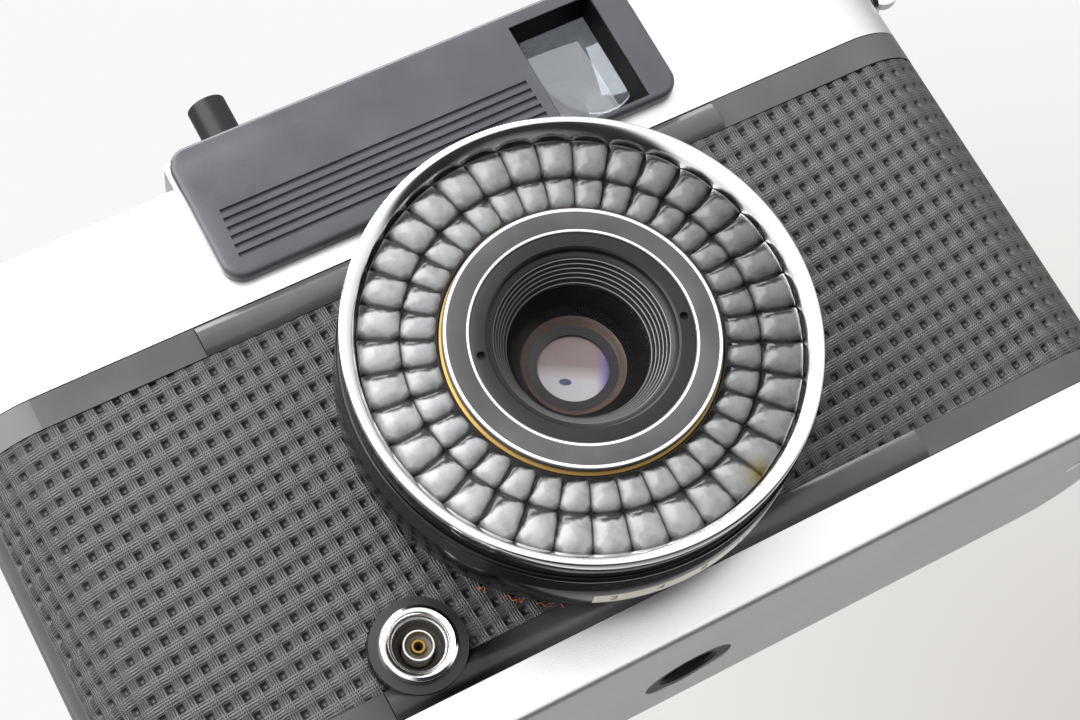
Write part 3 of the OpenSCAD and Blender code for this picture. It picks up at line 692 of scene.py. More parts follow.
class Finishes:
    """Every material of the camera, made once."""

    def __init__(self) -> None:
        """Builds the materials."""
        self.satin_chrome = PlatedMetal("satin_chrome_plate", (0.86, 0.86, 0.87), 0.34,
                                        relief=0.006).build()
        self.blasted = PlatedMetal("blasted_chrome", (0.88, 0.88, 0.885), 0.36, grain=0.14,
                                   relief=0.018).build()
        self.chrome = PlatedMetal("polished_chrome", (0.90, 0.90, 0.91), 0.10, grain=0.5, relief=0.001,
                                  spread=0.03).build()
        self.turned_chrome = TurnedMetal("turned_chrome", (0.95, 0.95, 0.95)).build()
        self.scale_silver = PlatedMetal("scale_silver", (0.74, 0.70, 0.60), 0.3).build()
        self.steel = PlatedMetal("nickelled_steel", (0.62, 0.62, 0.63), 0.3).build()
        self.brass = PlatedMetal("machined_brass", (0.36, 0.23, 0.07), 0.42).build()
        self.blade = PlatedMetal("shutter_steel", (0.80, 0.76, 0.78), 0.38).build()
        # The gloss enamel carries a painted shade, deep black round the flash socket's boss.
        self.enamel = Enamel("black_gloss_enamel", (0.066, 0.066, 0.069), 0.24, specular=0.55,
                             painted_shade_at=(-23.0, -9.0, 9.0)).build()
        self.barrel = Enamel("barrel_black", (0.005, 0.005, 0.005), 0.14, specular=0.38).build()
        self.slate = Enamel("slate_satin_enamel", (0.060, 0.063, 0.069), 0.28, peel=0.004,
                            peel_size=0.3).build()
        self.anodised = Enamel("black_anodised", (0.012, 0.012, 0.013), 0.36, specular=0.3).build()
        self.deep_black = Enamel("deep_black", (0.002, 0.002, 0.002), 0.55, specular=0.12).build()
        self.plastic = Enamel("black_moulded_plastic", (0.018, 0.018, 0.018), 0.42, peel=0.004).build()
        self.insulator = Enamel("brown_insulator", (0.10, 0.085, 0.06), 0.4).build()
        self.red = Enamel("signal_red", (0.55, 0.02, 0.015), 0.4).build()
        self.rust = Enamel("rusty_cement", (0.42, 0.13, 0.04), 0.5).build()
        self.felt = Enamel("black_felt", (0.008, 0.008, 0.008), 0.95, peel=0.15, peel_size=0.25).build()
        self.cell_grey = Enamel("selenium_layer", (0.22, 0.225, 0.23), 0.45, peel=0.01).build()
        self.glass = Glazing("window_glass", (1, 1, 1)).build()
        self.finder_glass = Glazing("part_silvered_glass", (0.78, 0.81, 0.85), mirror=0.20).build()
        self.finder_lens = Glazing("finder_lens_glass", (0.97, 0.95, 0.90), mirror=0.65).build()
        self.lens_glass = Glazing("coated_lens_glass", (0.98, 0.93, 0.98), ior=1.5, film=330).build()
        self.front_glass = Glazing("bloomed_front_glass", (1.0, 0.99, 1.0), ior=1.08).build()
        self.iris = IrisDisc().build()
        self.lens_edge = Enamel("brown_lens_edge", (0.055, 0.038, 0.030), 0.35).build()
        self.hood = RingedEnamel("ridged_hood", (0.010, 0.010, 0.011), (0.26, 0.26, 0.25), rings=(
            (8.42, 8.49), (8.14, 8.21), (7.86, 7.93), (7.58, 7.65), (7.30, 7.37), (6.98, 7.05))).build()
        self.leather = EmbossedLeather().build()
        self.name_ring = RingedEnamel().build()
        self.bubbles = BubblePlastic().build()


# ---------------------------------------------------------------- mesh helpers


def to_object(name: str, mesh: Mesh, material: Material, sharp: float = 35) -> Piece:
    """Turns a bmesh in millimetres into an object at the origin.

    Args:
        name: the piece's name.
        mesh: the bmesh, which is freed.
        material: the piece's material.
        sharp: the angle in degrees above which an edge stays sharp.

    Returns:
        The new object.
    """
    bmesh.ops.scale(mesh, vec=(MM, MM, MM), verts=mesh.verts)
    data = bpy.data.meshes.new(name)
    mesh.to_mesh(data)
    mesh.free()
    data.materials.append(material)
    data.polygons.foreach_set("use_smooth", [True] * len(data.polygons))
    data.set_sharp_from_angle(angle=math.radians(sharp))
    piece = bpy.data.objects.new(name, data)
    bpy.context.scene.collection.objects.link(piece)
    return piece


def outward(mesh: Mesh) -> None:
    """Merges doubles and points the faces outwards."""
    bmesh.ops.remove_doubles(mesh, verts=mesh.verts, dist=0.0005)
    bmesh.ops.recalc_face_normals(mesh, faces=mesh.faces)


def bevel_sharp(mesh: Mesh, width: float, segments: int = 2, angle: float = 40) -> None:
    """Rounds the sharp edges.

    Args:
        mesh: the bmesh.
        width: the rounding's width.
        segments: the number of its steps.
        angle: the angle in degrees above which an edge is sharp.
    """
    limit = math.radians(angle)
    edges = [edge for edge in mesh.edges if len(edge.link_faces) == 2 and edge.calc_face_angle(0) > limit]
    bmesh.ops.bevel(mesh, geom=edges, offset=width, offset_type="OFFSET", segments=segments, profile=0.5,
                    affect="EDGES", clamp_overlap=True, material=-1)


def turned(profile: Profile, x: float = 0.0, z: float = 27.5, steps: int = 256,
           bevel: float = 0.06) -> Mesh:
    """Turns a closed profile about an axis along Y.

    Args:
        profile: the outline's [radius, y] points.
        x: the axis's x.
        z: the axis's z.
        steps: the number of steps round the axis.
        bevel: the width of the rounding on sharp edges, or 0.

    Returns:
        The turned bmesh.
    """
    mesh = bmesh.new()
    verts = [mesh.verts.new((x + radius, y, z)) for radius, y in profile]
    edges = [mesh.edges.new((verts[i - 1], verts[i])) for i in range(len(verts))]
    bmesh.ops.spin(mesh, geom=verts + edges, cent=(x, 0, z), axis=(0, 1, 0), angle=FULL_TURN, steps=steps,
                   use_merge=True)
    outward(mesh)
    if bevel:
        bevel_sharp(mesh, bevel)
    return mesh


def plate_outline(mesh: Mesh, low: tuple[float, float], high: tuple[float, float], y: float,
                  corner: float) -> bmesh.types.BMFace:
    """Adds a rounded rectangle that faces -Y.

    Args:
        mesh: the bmesh it is added to.
        low: its lowest x and z.
        high: its highest x and z.
        y: its plane.
        corner: the radius of its corners.

    Returns:
        The face.
    """
    made = bmesh.ops.create_grid(mesh, x_segments=1, y_segments=1, size=0.5)["verts"]
    for vert in made:
        vert.co = Vector((low[0] + (vert.co.x + 0.5) * (high[0] - low[0]), y,
                          low[1] + (vert.co.y + 0.5) * (high[1] - low[1])))
    if corner:
        bmesh.ops.bevel(mesh, geom=made, offset=corner, offset_type="OFFSET", segments=10, profile=0.5,
                        affect="VERTICES", clamp_overlap=True, material=-1)
    return mesh.faces[:][-1]


def baked(name: str, data: bpy.types.ID) -> Mesh:
    """Turns a curve or a text into a bmesh.

    Args:
        name: the name of the object that holds it for a moment.
        data: the curve or the text.

    Returns:
        The bmesh with its faces pointing outwards.
    """
    holder = bpy.data.objects.new(name, data)
    bpy.context.scene.collection.objects.link(holder)
    graph = bpy.context.evaluated_depsgraph_get()
    made = bpy.data.meshes.new_from_object(holder.evaluated_get(graph))
    bpy.data.objects.remove(holder)
    mesh = bmesh.new()
    mesh.from_mesh(made)
    bmesh.ops.recalc_face_normals(mesh, faces=mesh.faces)
    return mesh


def mapped_grid(columns: int, rows: int, place: Callable[[np.ndarray, np.ndarray], np.ndarray]) -> Mesh:
    """Lays a grid on a curved surface.

    Args:
        columns: the number of cells along u.
        rows: the number of cells along v.
        place: gives the points for u and v from 0 to 1.

    Returns:
        The bmesh.
    """
    mesh = bmesh.new()
    bmesh.ops.create_grid(mesh, x_segments=columns, y_segments=rows, size=0.5)
    flat = np.array([vert.co[:2] for vert in mesh.verts]) + 0.5
    for vert, point in zip(mesh.verts, place(flat[:, 0], flat[:, 1])):
        vert.co = point
    return mesh


def carve(piece: Piece, tool: Mesh, sharp: float = 35) -> None:
    """Cuts a closed shape in millimetres out of a piece.

    Args:
        piece: the piece that is cut.
        tool: the shape, which is freed.
        sharp: the angle in degrees above which an edge stays sharp.
    """
    bmesh.ops.scale(tool, vec=(MM, MM, MM), verts=tool.verts)
    data = bpy.data.meshes.new("cutter")
    tool.to_mesh(data)
    tool.free()
    cutter = bpy.data.objects.new("cutter", data)
    bpy.context.scene.collection.objects.link(cutter)
    cut = piece.modifiers.new("cut", "BOOLEAN")
    cut.operation = "DIFFERENCE"
    cut.object = cutter
    cut.solver = "EXACT"
    graph = bpy.context.evaluated_depsgraph_get()
    piece.data = bpy.data.meshes.new_from_object(piece.evaluated_get(graph))
    piece.modifiers.clear()
    bpy.data.objects.remove(cutter)
    piece.data.polygons.foreach_set("use_smooth", [True] * len(piece.data.polygons))
    piece.data.set_sharp_from_angle(angle=math.radians(sharp))


def add_rod(mesh: Mesh, low: Sequence[float], high: Sequence[float], radius: float,
            steps: int = 48) -> None:
    """Adds a closed cylinder to a bmesh.

    Args:
        mesh: the bmesh.
        low: the middle of one end.
        high: the middle of the other end.
        radius: its radius.
        steps: the number of its sides.
    """
    low, high = Vector(low), Vector(high)
    turn = (high - low).to_track_quat("Z", "Y").to_matrix().to_4x4()
    bmesh.ops.create_cone(mesh, cap_ends=True, segments=steps, radius1=radius, radius2=radius,
                          depth=(high - low).length, matrix=Matrix.Translation((low + high) / 2) @ turn)


def add_box(mesh: Mesh, low: Sequence[float], high: Sequence[float]) -> None:
    """Adds a box to a bmesh.

    Args:
        mesh: the bmesh.
        low: its lowest corner.
        high: its highest corner.
    """
    made = bmesh.ops.create_cube(mesh, size=1.0)["verts"]
    bmesh.ops.scale(mesh, vec=Vector(high) - Vector(low), verts=made)
    bmesh.ops.translate(mesh, vec=(Vector(low) + Vector(high)) / 2, verts=made)


def dress(node: str, material: Material) -> None:
    """Gives a carried-over node its material.

    Args:
        node: the node's name.
        material: the material.
    """
    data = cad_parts[node].data
    data.materials.clear()
    data.materials.append(material)


def settle(piece: Piece, body: Body, slot: Slot, *stands_for: str) -> Piece:
    """Lets a piece ride on a body and hides the nodes that it stands for.

    Args:
        piece: the piece.
        body: the body that it moves with.
        slot: a material slot; not used.
        *stands_for: the nodes that it replaces.

    Returns:
        The piece.
    """
    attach(piece, body.value)
    if stands_for:
        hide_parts(*stands_for)
    LOG.info("%s rides on %s", piece.name, body.value)
    return piece


# ---------------------------------------------------------------- covering


@dataclass
class Covering:
    """The embossed covering on the front, round the corners and on the back."""

    front_y: float = -7.65
    corner_x: float = 47.5
    corner_r: float = 8.45
    z0: float = 8.56
    z1: float = 46.54
    start: float = 9.8
    end_angle: float = 65.0
    pitch_x: float = 1.93
    pitch_z: float = 2.15
    rise: float = 0.15
    pit: float = 0.168
    depth: float = 0.34
    thickness: float = 0.8
    neck_r: float = 21.45
    axis_z: float = 27.5
    socket: tuple[float, float, float] = (-25.1, 10.9, 4.95)
    lines: tuple[float, ...] = (-0.5, -0.38, -0.25, -0.191, -0.145, 0.0, 0.145, 0.191, 0.25, 0.38)
    fold: float = 80

    def to_lattice(self, along: np.ndarray, up: np.ndarray) -> tuple[np.ndarray, np.ndarray]:
        """Returns the lattice points of places on the flat covering.

        Args:
            along: how far along the covering they lie.
            up: how high they lie.

        Returns:
            Their columns and rows, whole numbers in the pits' middles.
        """
        column = (along + self.rise / self.pitch_z * up) / self.pitch_x
        row = (up - self.rise / self.pitch_x * along) / self.pitch_z
        return column, row

    def from_lattice(self, column: np.ndarray, row: np.ndarray) -> tuple[np.ndarray, np.ndarray]:
        """Returns the places of lattice points on the flat covering.

        Args:
            column: their columns.
            row: their rows.

        Returns:
            How far along the covering and how high they lie.
        """
        lean_x = self.rise / self.pitch_x
        lean_z = self.rise / self.pitch_z
        scale = 1 + lean_x * lean_z
        along = (column * self.pitch_x - lean_z * row * self.pitch_z) / scale
        up = (row * self.pitch_z + lean_x * column * self.pitch_x) / scale
        return along, up

    def relief(self, column: np.ndarray, row: np.ndarray) -> np.ndarray:
        """Returns how deep the pits and the swell between them lie below the outer face.

        Args:
            column: the points' columns.
            row: the points' rows.

        Returns:
            The depths.
        """
        over = np.maximum(np.abs(column - np.round(column)), np.abs(row - np.round(row)))
        wall = np.clip((self.pit + 0.023 - over) / 0.046, 0, 1)
        swell = 0.05 * (2 + np.cos(FULL_TURN * column) + np.cos(FULL_TURN * row))
        return self.depth * wall + swell

    def flat(self, low: float, high: float, z0: float, z1: float) -> Mesh:
        """Lays the embossed lattice over a flat area, cut clean at its four sides.

        Args:
            low: where it starts along the covering.
            high: where it ends.
            z0: its lower side.
            z1: its upper side.

        Returns:
            The bmesh: x runs along, y is the depth and z runs up.
        """
        columns, rows = self.to_lattice(np.array([low, high, low, high]), np.array([z0, z0, z1, z1]))
        first = (math.floor(columns.min()), math.floor(rows.min()))
        count = (math.ceil(columns.max()) - first[0] + 1, math.ceil(rows.max()) - first[1] + 1)
        marks = [np.array([start + i + line for i in range(number) for line in self.lines])
                 for start, number in zip(first, count)]

        def lay(u: np.ndarray, v: np.ndarray) -> np.ndarray:
            """Returns the sheet's points.

            Args:
                u: the share of the columns.
                v: the share of the rows.

            Returns:
                The points.
            """
            column = marks[0][np.rint(u * (len(marks[0]) - 1)).astype(int)]
            row = marks[1][np.rint(v * (len(marks[1]) - 1)).astype(int)]
            along, up = self.from_lattice(column, row)
            return np.column_stack((along, self.relief(column, row), up))

        mesh = mapped_grid(len(marks[0]) - 1, len(marks[1]) - 1, lay)
        sides = (((low, 0, 0), (-1, 0, 0)), ((high, 0, 0), (1, 0, 0)),
                 ((0, 0, z0), (0, 0, -1)), ((0, 0, z1), (0, 0, 1)))
        for place, normal in sides:
            every = mesh.verts[:] + mesh.edges[:] + mesh.faces[:]
            bmesh.ops.bisect_plane(mesh, geom=every, dist=0.001, plane_co=place, plane_no=normal,
                                   clear_outer=True)
        return mesh

    def finish_sheet(self, mesh: Mesh) -> None:
        """Gives the flat sheet its lattice map and its edge walls.

        Args:
            mesh: the sheet.
        """
        layer = mesh.loops.layers.uv.new("UVMap")
        for face in mesh.faces:
            for loop in face.loops:
                loop[layer].uv = self.to_lattice(loop.vert.co.x, loop.vert.co.z)
        rim = [edge for edge in mesh.edges if edge.is_boundary]
        for item in bmesh.ops.extrude_edge_only(mesh, edges=rim)["geom"]:
            if isinstance(item, bmesh.types.BMVert):
                item.co.y = self.thickness

    @staticmethod
    def cut_round(mesh: Mesh, x: float, z: float, radius: float) -> None:
        """Cuts a round hole and draws the cells at its rim onto the circle.

        Args:
            mesh: the sheet.
            x: the hole's place along.
            z: the hole's height.
            radius: its radius.
        """
        inside, outside = 0.2, 0.12
        doomed = []
        for vert in mesh.verts:
            away = math.hypot(vert.co.x - x, vert.co.z - z)
            if away < radius - inside:
                doomed.append(vert)
            elif away < radius + outside:
                scale = radius / away
                vert.co.x = x + (vert.co.x - x) * scale
                vert.co.z = z + (vert.co.z - z) * scale
        bmesh.ops.delete(mesh, geom=doomed, context="VERTS")

    def bend(self, mesh: Mesh) -> None:
        """Wraps the flat sheet round the body's corner.

        Args:
            mesh: the sheet.
        """
        for vert in mesh.verts:
            along, deep = vert.co.x, vert.co.y
            turn = max(0.0, abs(along) - self.corner_x) / self.corner_r
            radius = self.corner_r - deep
            if turn > 0:
                vert.co.x = math.copysign(self.corner_x + radius * math.sin(turn), along)
            vert.co.y = self.front_y + self.corner_r - radius * math.cos(turn)

    def front(self, side: int, finishes: Finishes) -> Piece:
        """Builds one half of the front covering.

        Args:
            side: -1 for the left half, 1 for the right one.
            finishes: the materials.

        Returns:
            The piece.
        """
        reach = self.corner_x + self.corner_r * math.radians(self.end_angle)
        low, high = (self.start, reach) if side > 0 else (-reach, -self.start)
        mesh = self.flat(low, high, self.z0, self.z1)
        self.cut_round(mesh, 0, self.axis_z, self.neck_r)
        if side < 0:
            self.cut_round(mesh, *self.socket)
        self.finish_sheet(mesh)
        self.bend(mesh)
        bmesh.ops.recalc_face_normals(mesh, faces=mesh.faces)
        name = "covering_left" if side < 0 else "covering_right"
        return to_object(name, mesh, finishes.leather, self.fold)

    def back(self, finishes: Finishes) -> Piece:
        """Builds the covering of the back cover.

        Args:
            finishes: the materials.

        Returns:
            The piece.
        """
        low, high = (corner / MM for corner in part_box("back_leatherette"))
        mesh = self.flat(low.x, high.x, low.z, high.z)
        self.finish_sheet(mesh)
        for vert in mesh.verts:
            vert.co.y = high.y - vert.co.y
        bmesh.ops.recalc_face_normals(mesh, faces=mesh.faces)
        return to_object("covering_back", mesh, finishes.leather, self.fold)

    def build(self, finishes: Finishes) -> None:
        """Makes the three coverings.

        Args:
            finishes: the materials.
        """
        settle(self.front(-1, finishes), Body.BODY, Slot.LEATHERETTE, "leatherette_left")
        settle(self.front(1, finishes), Body.BODY, Slot.LEATHERETTE, "leatherette_right")
        settle(self.back(finishes), Body.DOOR, Slot.LEATHERETTE, "back_leatherette")


# ---------------------------------------------------------------- lens


@dataclass
class Lens:
    """The barrel, its rings, the bubble ring and the glass."""

    lip_y: float = -23.5
    axis_z: float = 27.5
    bubbles: int = 36
    samples: int = 14
    rows: tuple[tuple[float, float, float], ...] = ((13.8, 17.25, 1.05), (17.25, 21.3, 1.35))
    first_angle: float = 3.9

    def bezel(self) -> Mesh:
        """Turns the chrome rim: a rolled edge, the polished cone inside it and the thread.

        Returns:
            The bmesh.
        """
        y = self.lip_y
        inner = [(21.75 - (0.12 if i % 2 else 0.0), y + 0.95 + i * 0.16) for i in range(8)]
        roll = [(22.62 + 0.38 * math.sin(math.radians(a)), y + 0.38 - 0.38 * math.cos(math.radians(a)))
                for a in range(-30, 91, 15)]
        outside = [(23.0, y + 1.05), (22.9, y + 1.3), (22.2, y + 1.4), (22.2, y + 3.0)]
        return turned([*roll, *outside, (21.4, y + 3.0), (21.4, y + 2.3), *reversed(inner),
                       (21.62, y + 0.85), (22.25, y + 0.12)], bevel=0)

    def bubble_ring(self) -> Mesh:
        """Builds both rows of bubbles as one moulded ring.

        Returns:
            The bmesh.
        """
        y_base = self.lip_y + 2.25
        per_row = self.samples
        columns = self.bubbles * self.samples
        levels = per_row * len(self.rows)

        def lay(u: np.ndarray, v: np.ndarray) -> np.ndarray:
            """Returns the ring's points.

            Args:
                u: the share of the turn.
                v: the share of the way outwards.

            Returns:
                The points.
            """
            column = np.rint(u * columns)
            level = np.rint(v * (levels + 2)) - 1
            phase = np.mod(column, self.samples) / self.samples * 2 - 1
            across = np.sin(phase * math.pi / 2)
            angle = np.radians(self.first_angle + (np.floor(column / self.samples) + (across + 1) / 2)
                               * 360 / self.bubbles)
            radius = np.full_like(u, self.rows[0][0])
            height = np.zeros_like(u)
            for index, (low, high, crown) in enumerate(self.rows):
                local = np.clip((level - index * per_row) / per_row, 0, 1) * 2 - 1
                radial = np.sin(local * math.pi / 2)
                here = (level >= index * per_row) & (level <= (index + 1) * per_row)
                radius = np.where(here, low + (high - low) * (radial + 1) / 2, radius)
                bulge = np.sqrt(np.maximum(0, (1 - np.abs(across) ** 2.0) * (1 - np.abs(radial) ** 2.4)))
                height = np.where(here, crown * bulge, height)
            radius = np.where(level < 0, self.rows[0][0], radius)
            radius = np.where(level > levels, self.rows[-1][1], radius)
            y = np.where((level < 0) | (level > levels), self.lip_y + 2.5, y_base - height)
            return np.column_stack((radius * np.cos(angle), y, self.axis_z + radius * np.sin(angle)))

        mesh = mapped_grid(columns, levels + 2, lay)
        bmesh.ops.remove_doubles(mesh, verts=mesh.verts, dist=0.0005)
        rims = [edge for edge in mesh.edges if edge.is_boundary]
        bmesh.ops.bridge_loops(mesh, edges=rims)
        outward(mesh)
        self.map_bubbles(mesh)
        return mesh

    def map_bubbles(self, mesh: Mesh) -> None:
        """Gives every bubble a map of its own, from 0 to 1 round the ring and outwards.

        Args:
            mesh: the ring.
        """
        layer = mesh.loops.layers.uv.new("UVMap")
        step = 360 / self.bubbles
        for face in mesh.faces:
            middle = face.calc_center_median()
            angle = math.degrees(math.atan2(middle.z - self.axis_z, middle.x)) - self.first_angle
            start = math.floor(angle / step) * step
            radius = math.hypot(middle.x, middle.z - self.axis_z)
            low, high, _ = self.rows[0] if radius < self.rows[0][1] else self.rows[1]
            for loop in face.loops:
                point = loop.vert.co
                turn = math.degrees(math.atan2(point.z - self.axis_z, point.x)) - self.first_angle - start
                turn = (turn + 180) % 360 - 180
                out = (math.hypot(point.x, point.z - self.axis_z) - low) / (high - low)
                loop[layer].uv = (turn / step, out)

    def hood(self, finishes: Finishes) -> Piece:
        """Turns the inner ring: a flat with two key holes, a step and the ridged cone.

        Args:
            finishes: the materials.

        Returns:
            The piece.
        """
        y = self.lip_y
        ridges = []
        for i in range(6):
            radius = 8.46 - i * 0.28
            depth = y + 2.0 + i * 0.46
            ridges += [(radius + 0.09, depth - 0.10), (radius, depth - 0.02),
                       (radius - 0.09, depth + 0.14)]
        outline = [(10.75, y + 1.0), (10.75, y + 1.7), (12.3, y + 1.75), (12.3, y + 3.6), (7.6, y + 4.9),
                   (6.9, y + 4.9), *reversed(ridges), (8.9, y + 1.75), (9.15, y + 1.75), (9.15, y + 1.1),
                   (9.35, y + 0.95), (10.6, y + 0.95)]
        piece = to_object("inner_hood", turned(outline, bevel=0), finishes.hood)
        holes = bmesh.new()
        for angle in (-14, 166):
            turn = math.radians(angle)
            x, z = 9.95 * math.cos(turn), self.axis_z + 9.95 * math.sin(turn)
            add_rod(holes, (x, y - 1, z), (x, y + 1.62, z), 0.43, 32)
        carve(piece, holes)
        return piece

    def build(self, finishes: Finishes) -> None:
        """Makes the lens's pieces.

        Args:
            finishes: the materials.
        """
        y = self.lip_y
        body = Body.BODY
        bezel = to_object("chrome_bezel", self.bezel(), finishes.turned_chrome)
        settle(bezel, body, Slot.CHROME, "front_bezel")
        bubbles = to_object("bubble_ring", self.bubble_ring(), finishes.bubbles, sharp=60)
        settle(bubbles, body, Slot.CLEAR, "bubble_lens")
        ring = turned([(10.75, y + 0.9), (13.32, y + 0.9), (13.4, y + 0.98), (13.4, y + 1.6),
                       (10.75, y + 1.6)], bevel=0.04)
        settle(to_object("ring_plate", ring, finishes.name_ring), body, Slot.ANODISED, "name_ring")
        trim = turned([(12.4, y + 1.62), (13.1, y + 1.62), (13.1, y + 2.0), (13.6, y + 2.1),
                       (13.6, y + 3.2), (12.4, y + 3.2)])
        settle(to_object("brass_trim", trim, finishes.brass), body, Slot.BRASS, "cell_trim_ring")
        settle(self.hood(finishes), body, Slot.ANODISED, "lens_hood_ring")
        self.glass(finishes)
        self.rings(finishes)

    def glass(self, finishes: Finishes) -> None:
        """Makes the front glass, the black cone behind it and the glowing disc of painted reflections at
        its end.

        Args:
            finishes: the materials.
        """
        y = self.lip_y
        radius = 14.0
        edge = 6.9
        rise = [math.asin(edge / radius) * step / 12 for step in range(13)]
        crown = y + 5.1 - radius * (1 - math.cos(rise[-1]))
        dome = [(radius * math.sin(a), crown + radius * (1 - math.cos(a))) for a in rise]
        inner = [(radius * math.sin(a) * 0.97, crown + 0.5 + 0.75 * radius * (1 - math.cos(a)))
                 for a in reversed(rise)]
        front = to_object("front_glass", turned([*dome, *inner], bevel=0), finishes.front_glass)
        front.visible_shadow = False
        settle(front, Body.BODY, Slot.GLASS, "front_element")
        tube = turned([(6.85, y + 5.2), (5.2, y + 8.0), (5.2, y + 9.75), (7.3, y + 9.75),
                       (7.3, y + 5.2)], bevel=0.03)
        settle(to_object("inner_cone", tube, finishes.deep_black), Body.BODY, Slot.ANODISED, "lens_cell")
        rim = turned([(5.15, y + 8.1), (4.8, y + 8.5), (4.45, y + 8.9), (4.1, y + 9.1),
                      (4.1, y + 9.6), (5.15, y + 9.6)], bevel=0.04)
        settle(to_object("inner_lens_rim", rim, finishes.lens_edge), Body.BODY, Slot.ANODISED)
        disc = turned([(0.0, y + 9.42), (4.08, y + 9.42), (4.08, y + 9.55), (0.0, y + 9.55)], bevel=0)
        settle(to_object("inner_lens", disc, finishes.iris), Body.BODY, Slot.GLASS)

    def scale_band(self, finishes: Finishes) -> None:
        """Makes the silver scale on the aperture ring with plain numbers round it.

        Args:
            finishes: the materials.
        """
        y = self.lip_y
        radius, low, high = 23.23, y + 8.6, y + 10.6
        mesh = bmesh.new()
        start = math.radians(246)
        verts = []
        for out, depth in ((23.0, low), (radius, low), (radius, high), (23.0, high)):
            point = (out * math.cos(start), depth, self.axis_z + out * math.sin(start))
            verts.append(mesh.verts.new(point))
        bmesh.ops.spin(mesh, geom=[mesh.faces.new(verts)], cent=(0, 0, self.axis_z), axis=(0, -1, 0),
                       angle=math.radians(70), steps=70)
        outward(mesh)
        settle(to_object("aperture_scale", mesh, finishes.scale_silver), Body.APERTURE, Slot.STEEL)
        for index, number in enumerate(("2", "4", "8", "11", "16", "22")):
            angle = 251 + index * 11.5
            self.bent_number(number, angle, radius, (low + high) / 2, finishes)

    def bent_number(self, number: str, angle: float, radius: float, y: float,
                    finishes: Finishes) -> None:
        """Lays one number of the scale round the ring.

        Args:
            number: the number.
            angle: its place round the axis in degrees.
            radius: the ring's radius.
            y: its middle along the axis.
            finishes: the materials.
        """
        letters = bpy.data.curves.new(f"number_{number}", "FONT")
        letters.body = number
        letters.size = 1.7
        letters.align_x = "CENTER"
        letters.align_y = "CENTER"
        letters.extrude = 0.015
        mesh = baked("number", letters)
        for vert in mesh.verts:
            turn = math.radians(angle) + vert.co.x / radius
            out = radius + vert.co.z
            vert.co = Vector((out * math.cos(turn), y - vert.co.y, self.axis_z + out * math.sin(turn)))
        bmesh.ops.recalc_face_normals(mesh, faces=mesh.faces)
        piece = to_object(f"scale_number_{number}", mesh, finishes.enamel)
        settle(piece, Body.APERTURE, Slot.ENAMEL)

    def rings(self, finishes: Finishes) -> None:
        """Makes the speed ring, the aperture ring with its scale, and the neck.

        Args:
            finishes: the materials.
        """
        y = self.lip_y
        speed = turned([(22.26, y + 1.5), (22.7, y + 1.5), (22.85, y + 1.65), (22.85, y + 3.45),
                        (22.7, y + 3.7), (22.26, y + 3.7)])
        settle(to_object("speed_ring", speed, finishes.barrel), Body.SPEED, Slot.ENAMEL,
               "film_speed_ring")
        outer = [(18.4, y + 3.95), (22.95, y + 3.95), (23.2, y + 4.2)]
        for i in range(6):
            at = y + i * 0.42
            outer += [(23.2, at + 4.5), (23.05, at + 4.6), (23.05, at + 4.72), (23.2, at + 4.82)]
        outer += [(23.2, y + 11.0), (22.9, y + 11.2), (22.6, y + 12.5), (21.4, y + 12.5),
                  (21.4, y + 7.2), (18.4, y + 7.2)]
        settle(to_object("aperture_ring_body", turned(outer, bevel=0.04), finishes.barrel), Body.APERTURE,
               Slot.ENAMEL, "aperture_ring")
        self.scale_band(finishes)
        neck = turned([(16.3, y + 9.9), (21.3, y + 9.9), (21.3, y + 16.6), (16.3, y + 16.6)])
        settle(to_object("neck", neck, finishes.barrel), Body.BODY, Slot.ENAMEL, "barrel_neck")
        for node in ("lens_housing", "shutter_plate"):
            dress(node, finishes.anodised)
        for node in ("shutter_blade_left", "shutter_blade_right"):
            dress(node, finishes.blade)
        dress("rear_element", finishes.lens_glass)
        dress("selenium_cell", finishes.cell_grey)


# ---------------------------------------------------------------- body


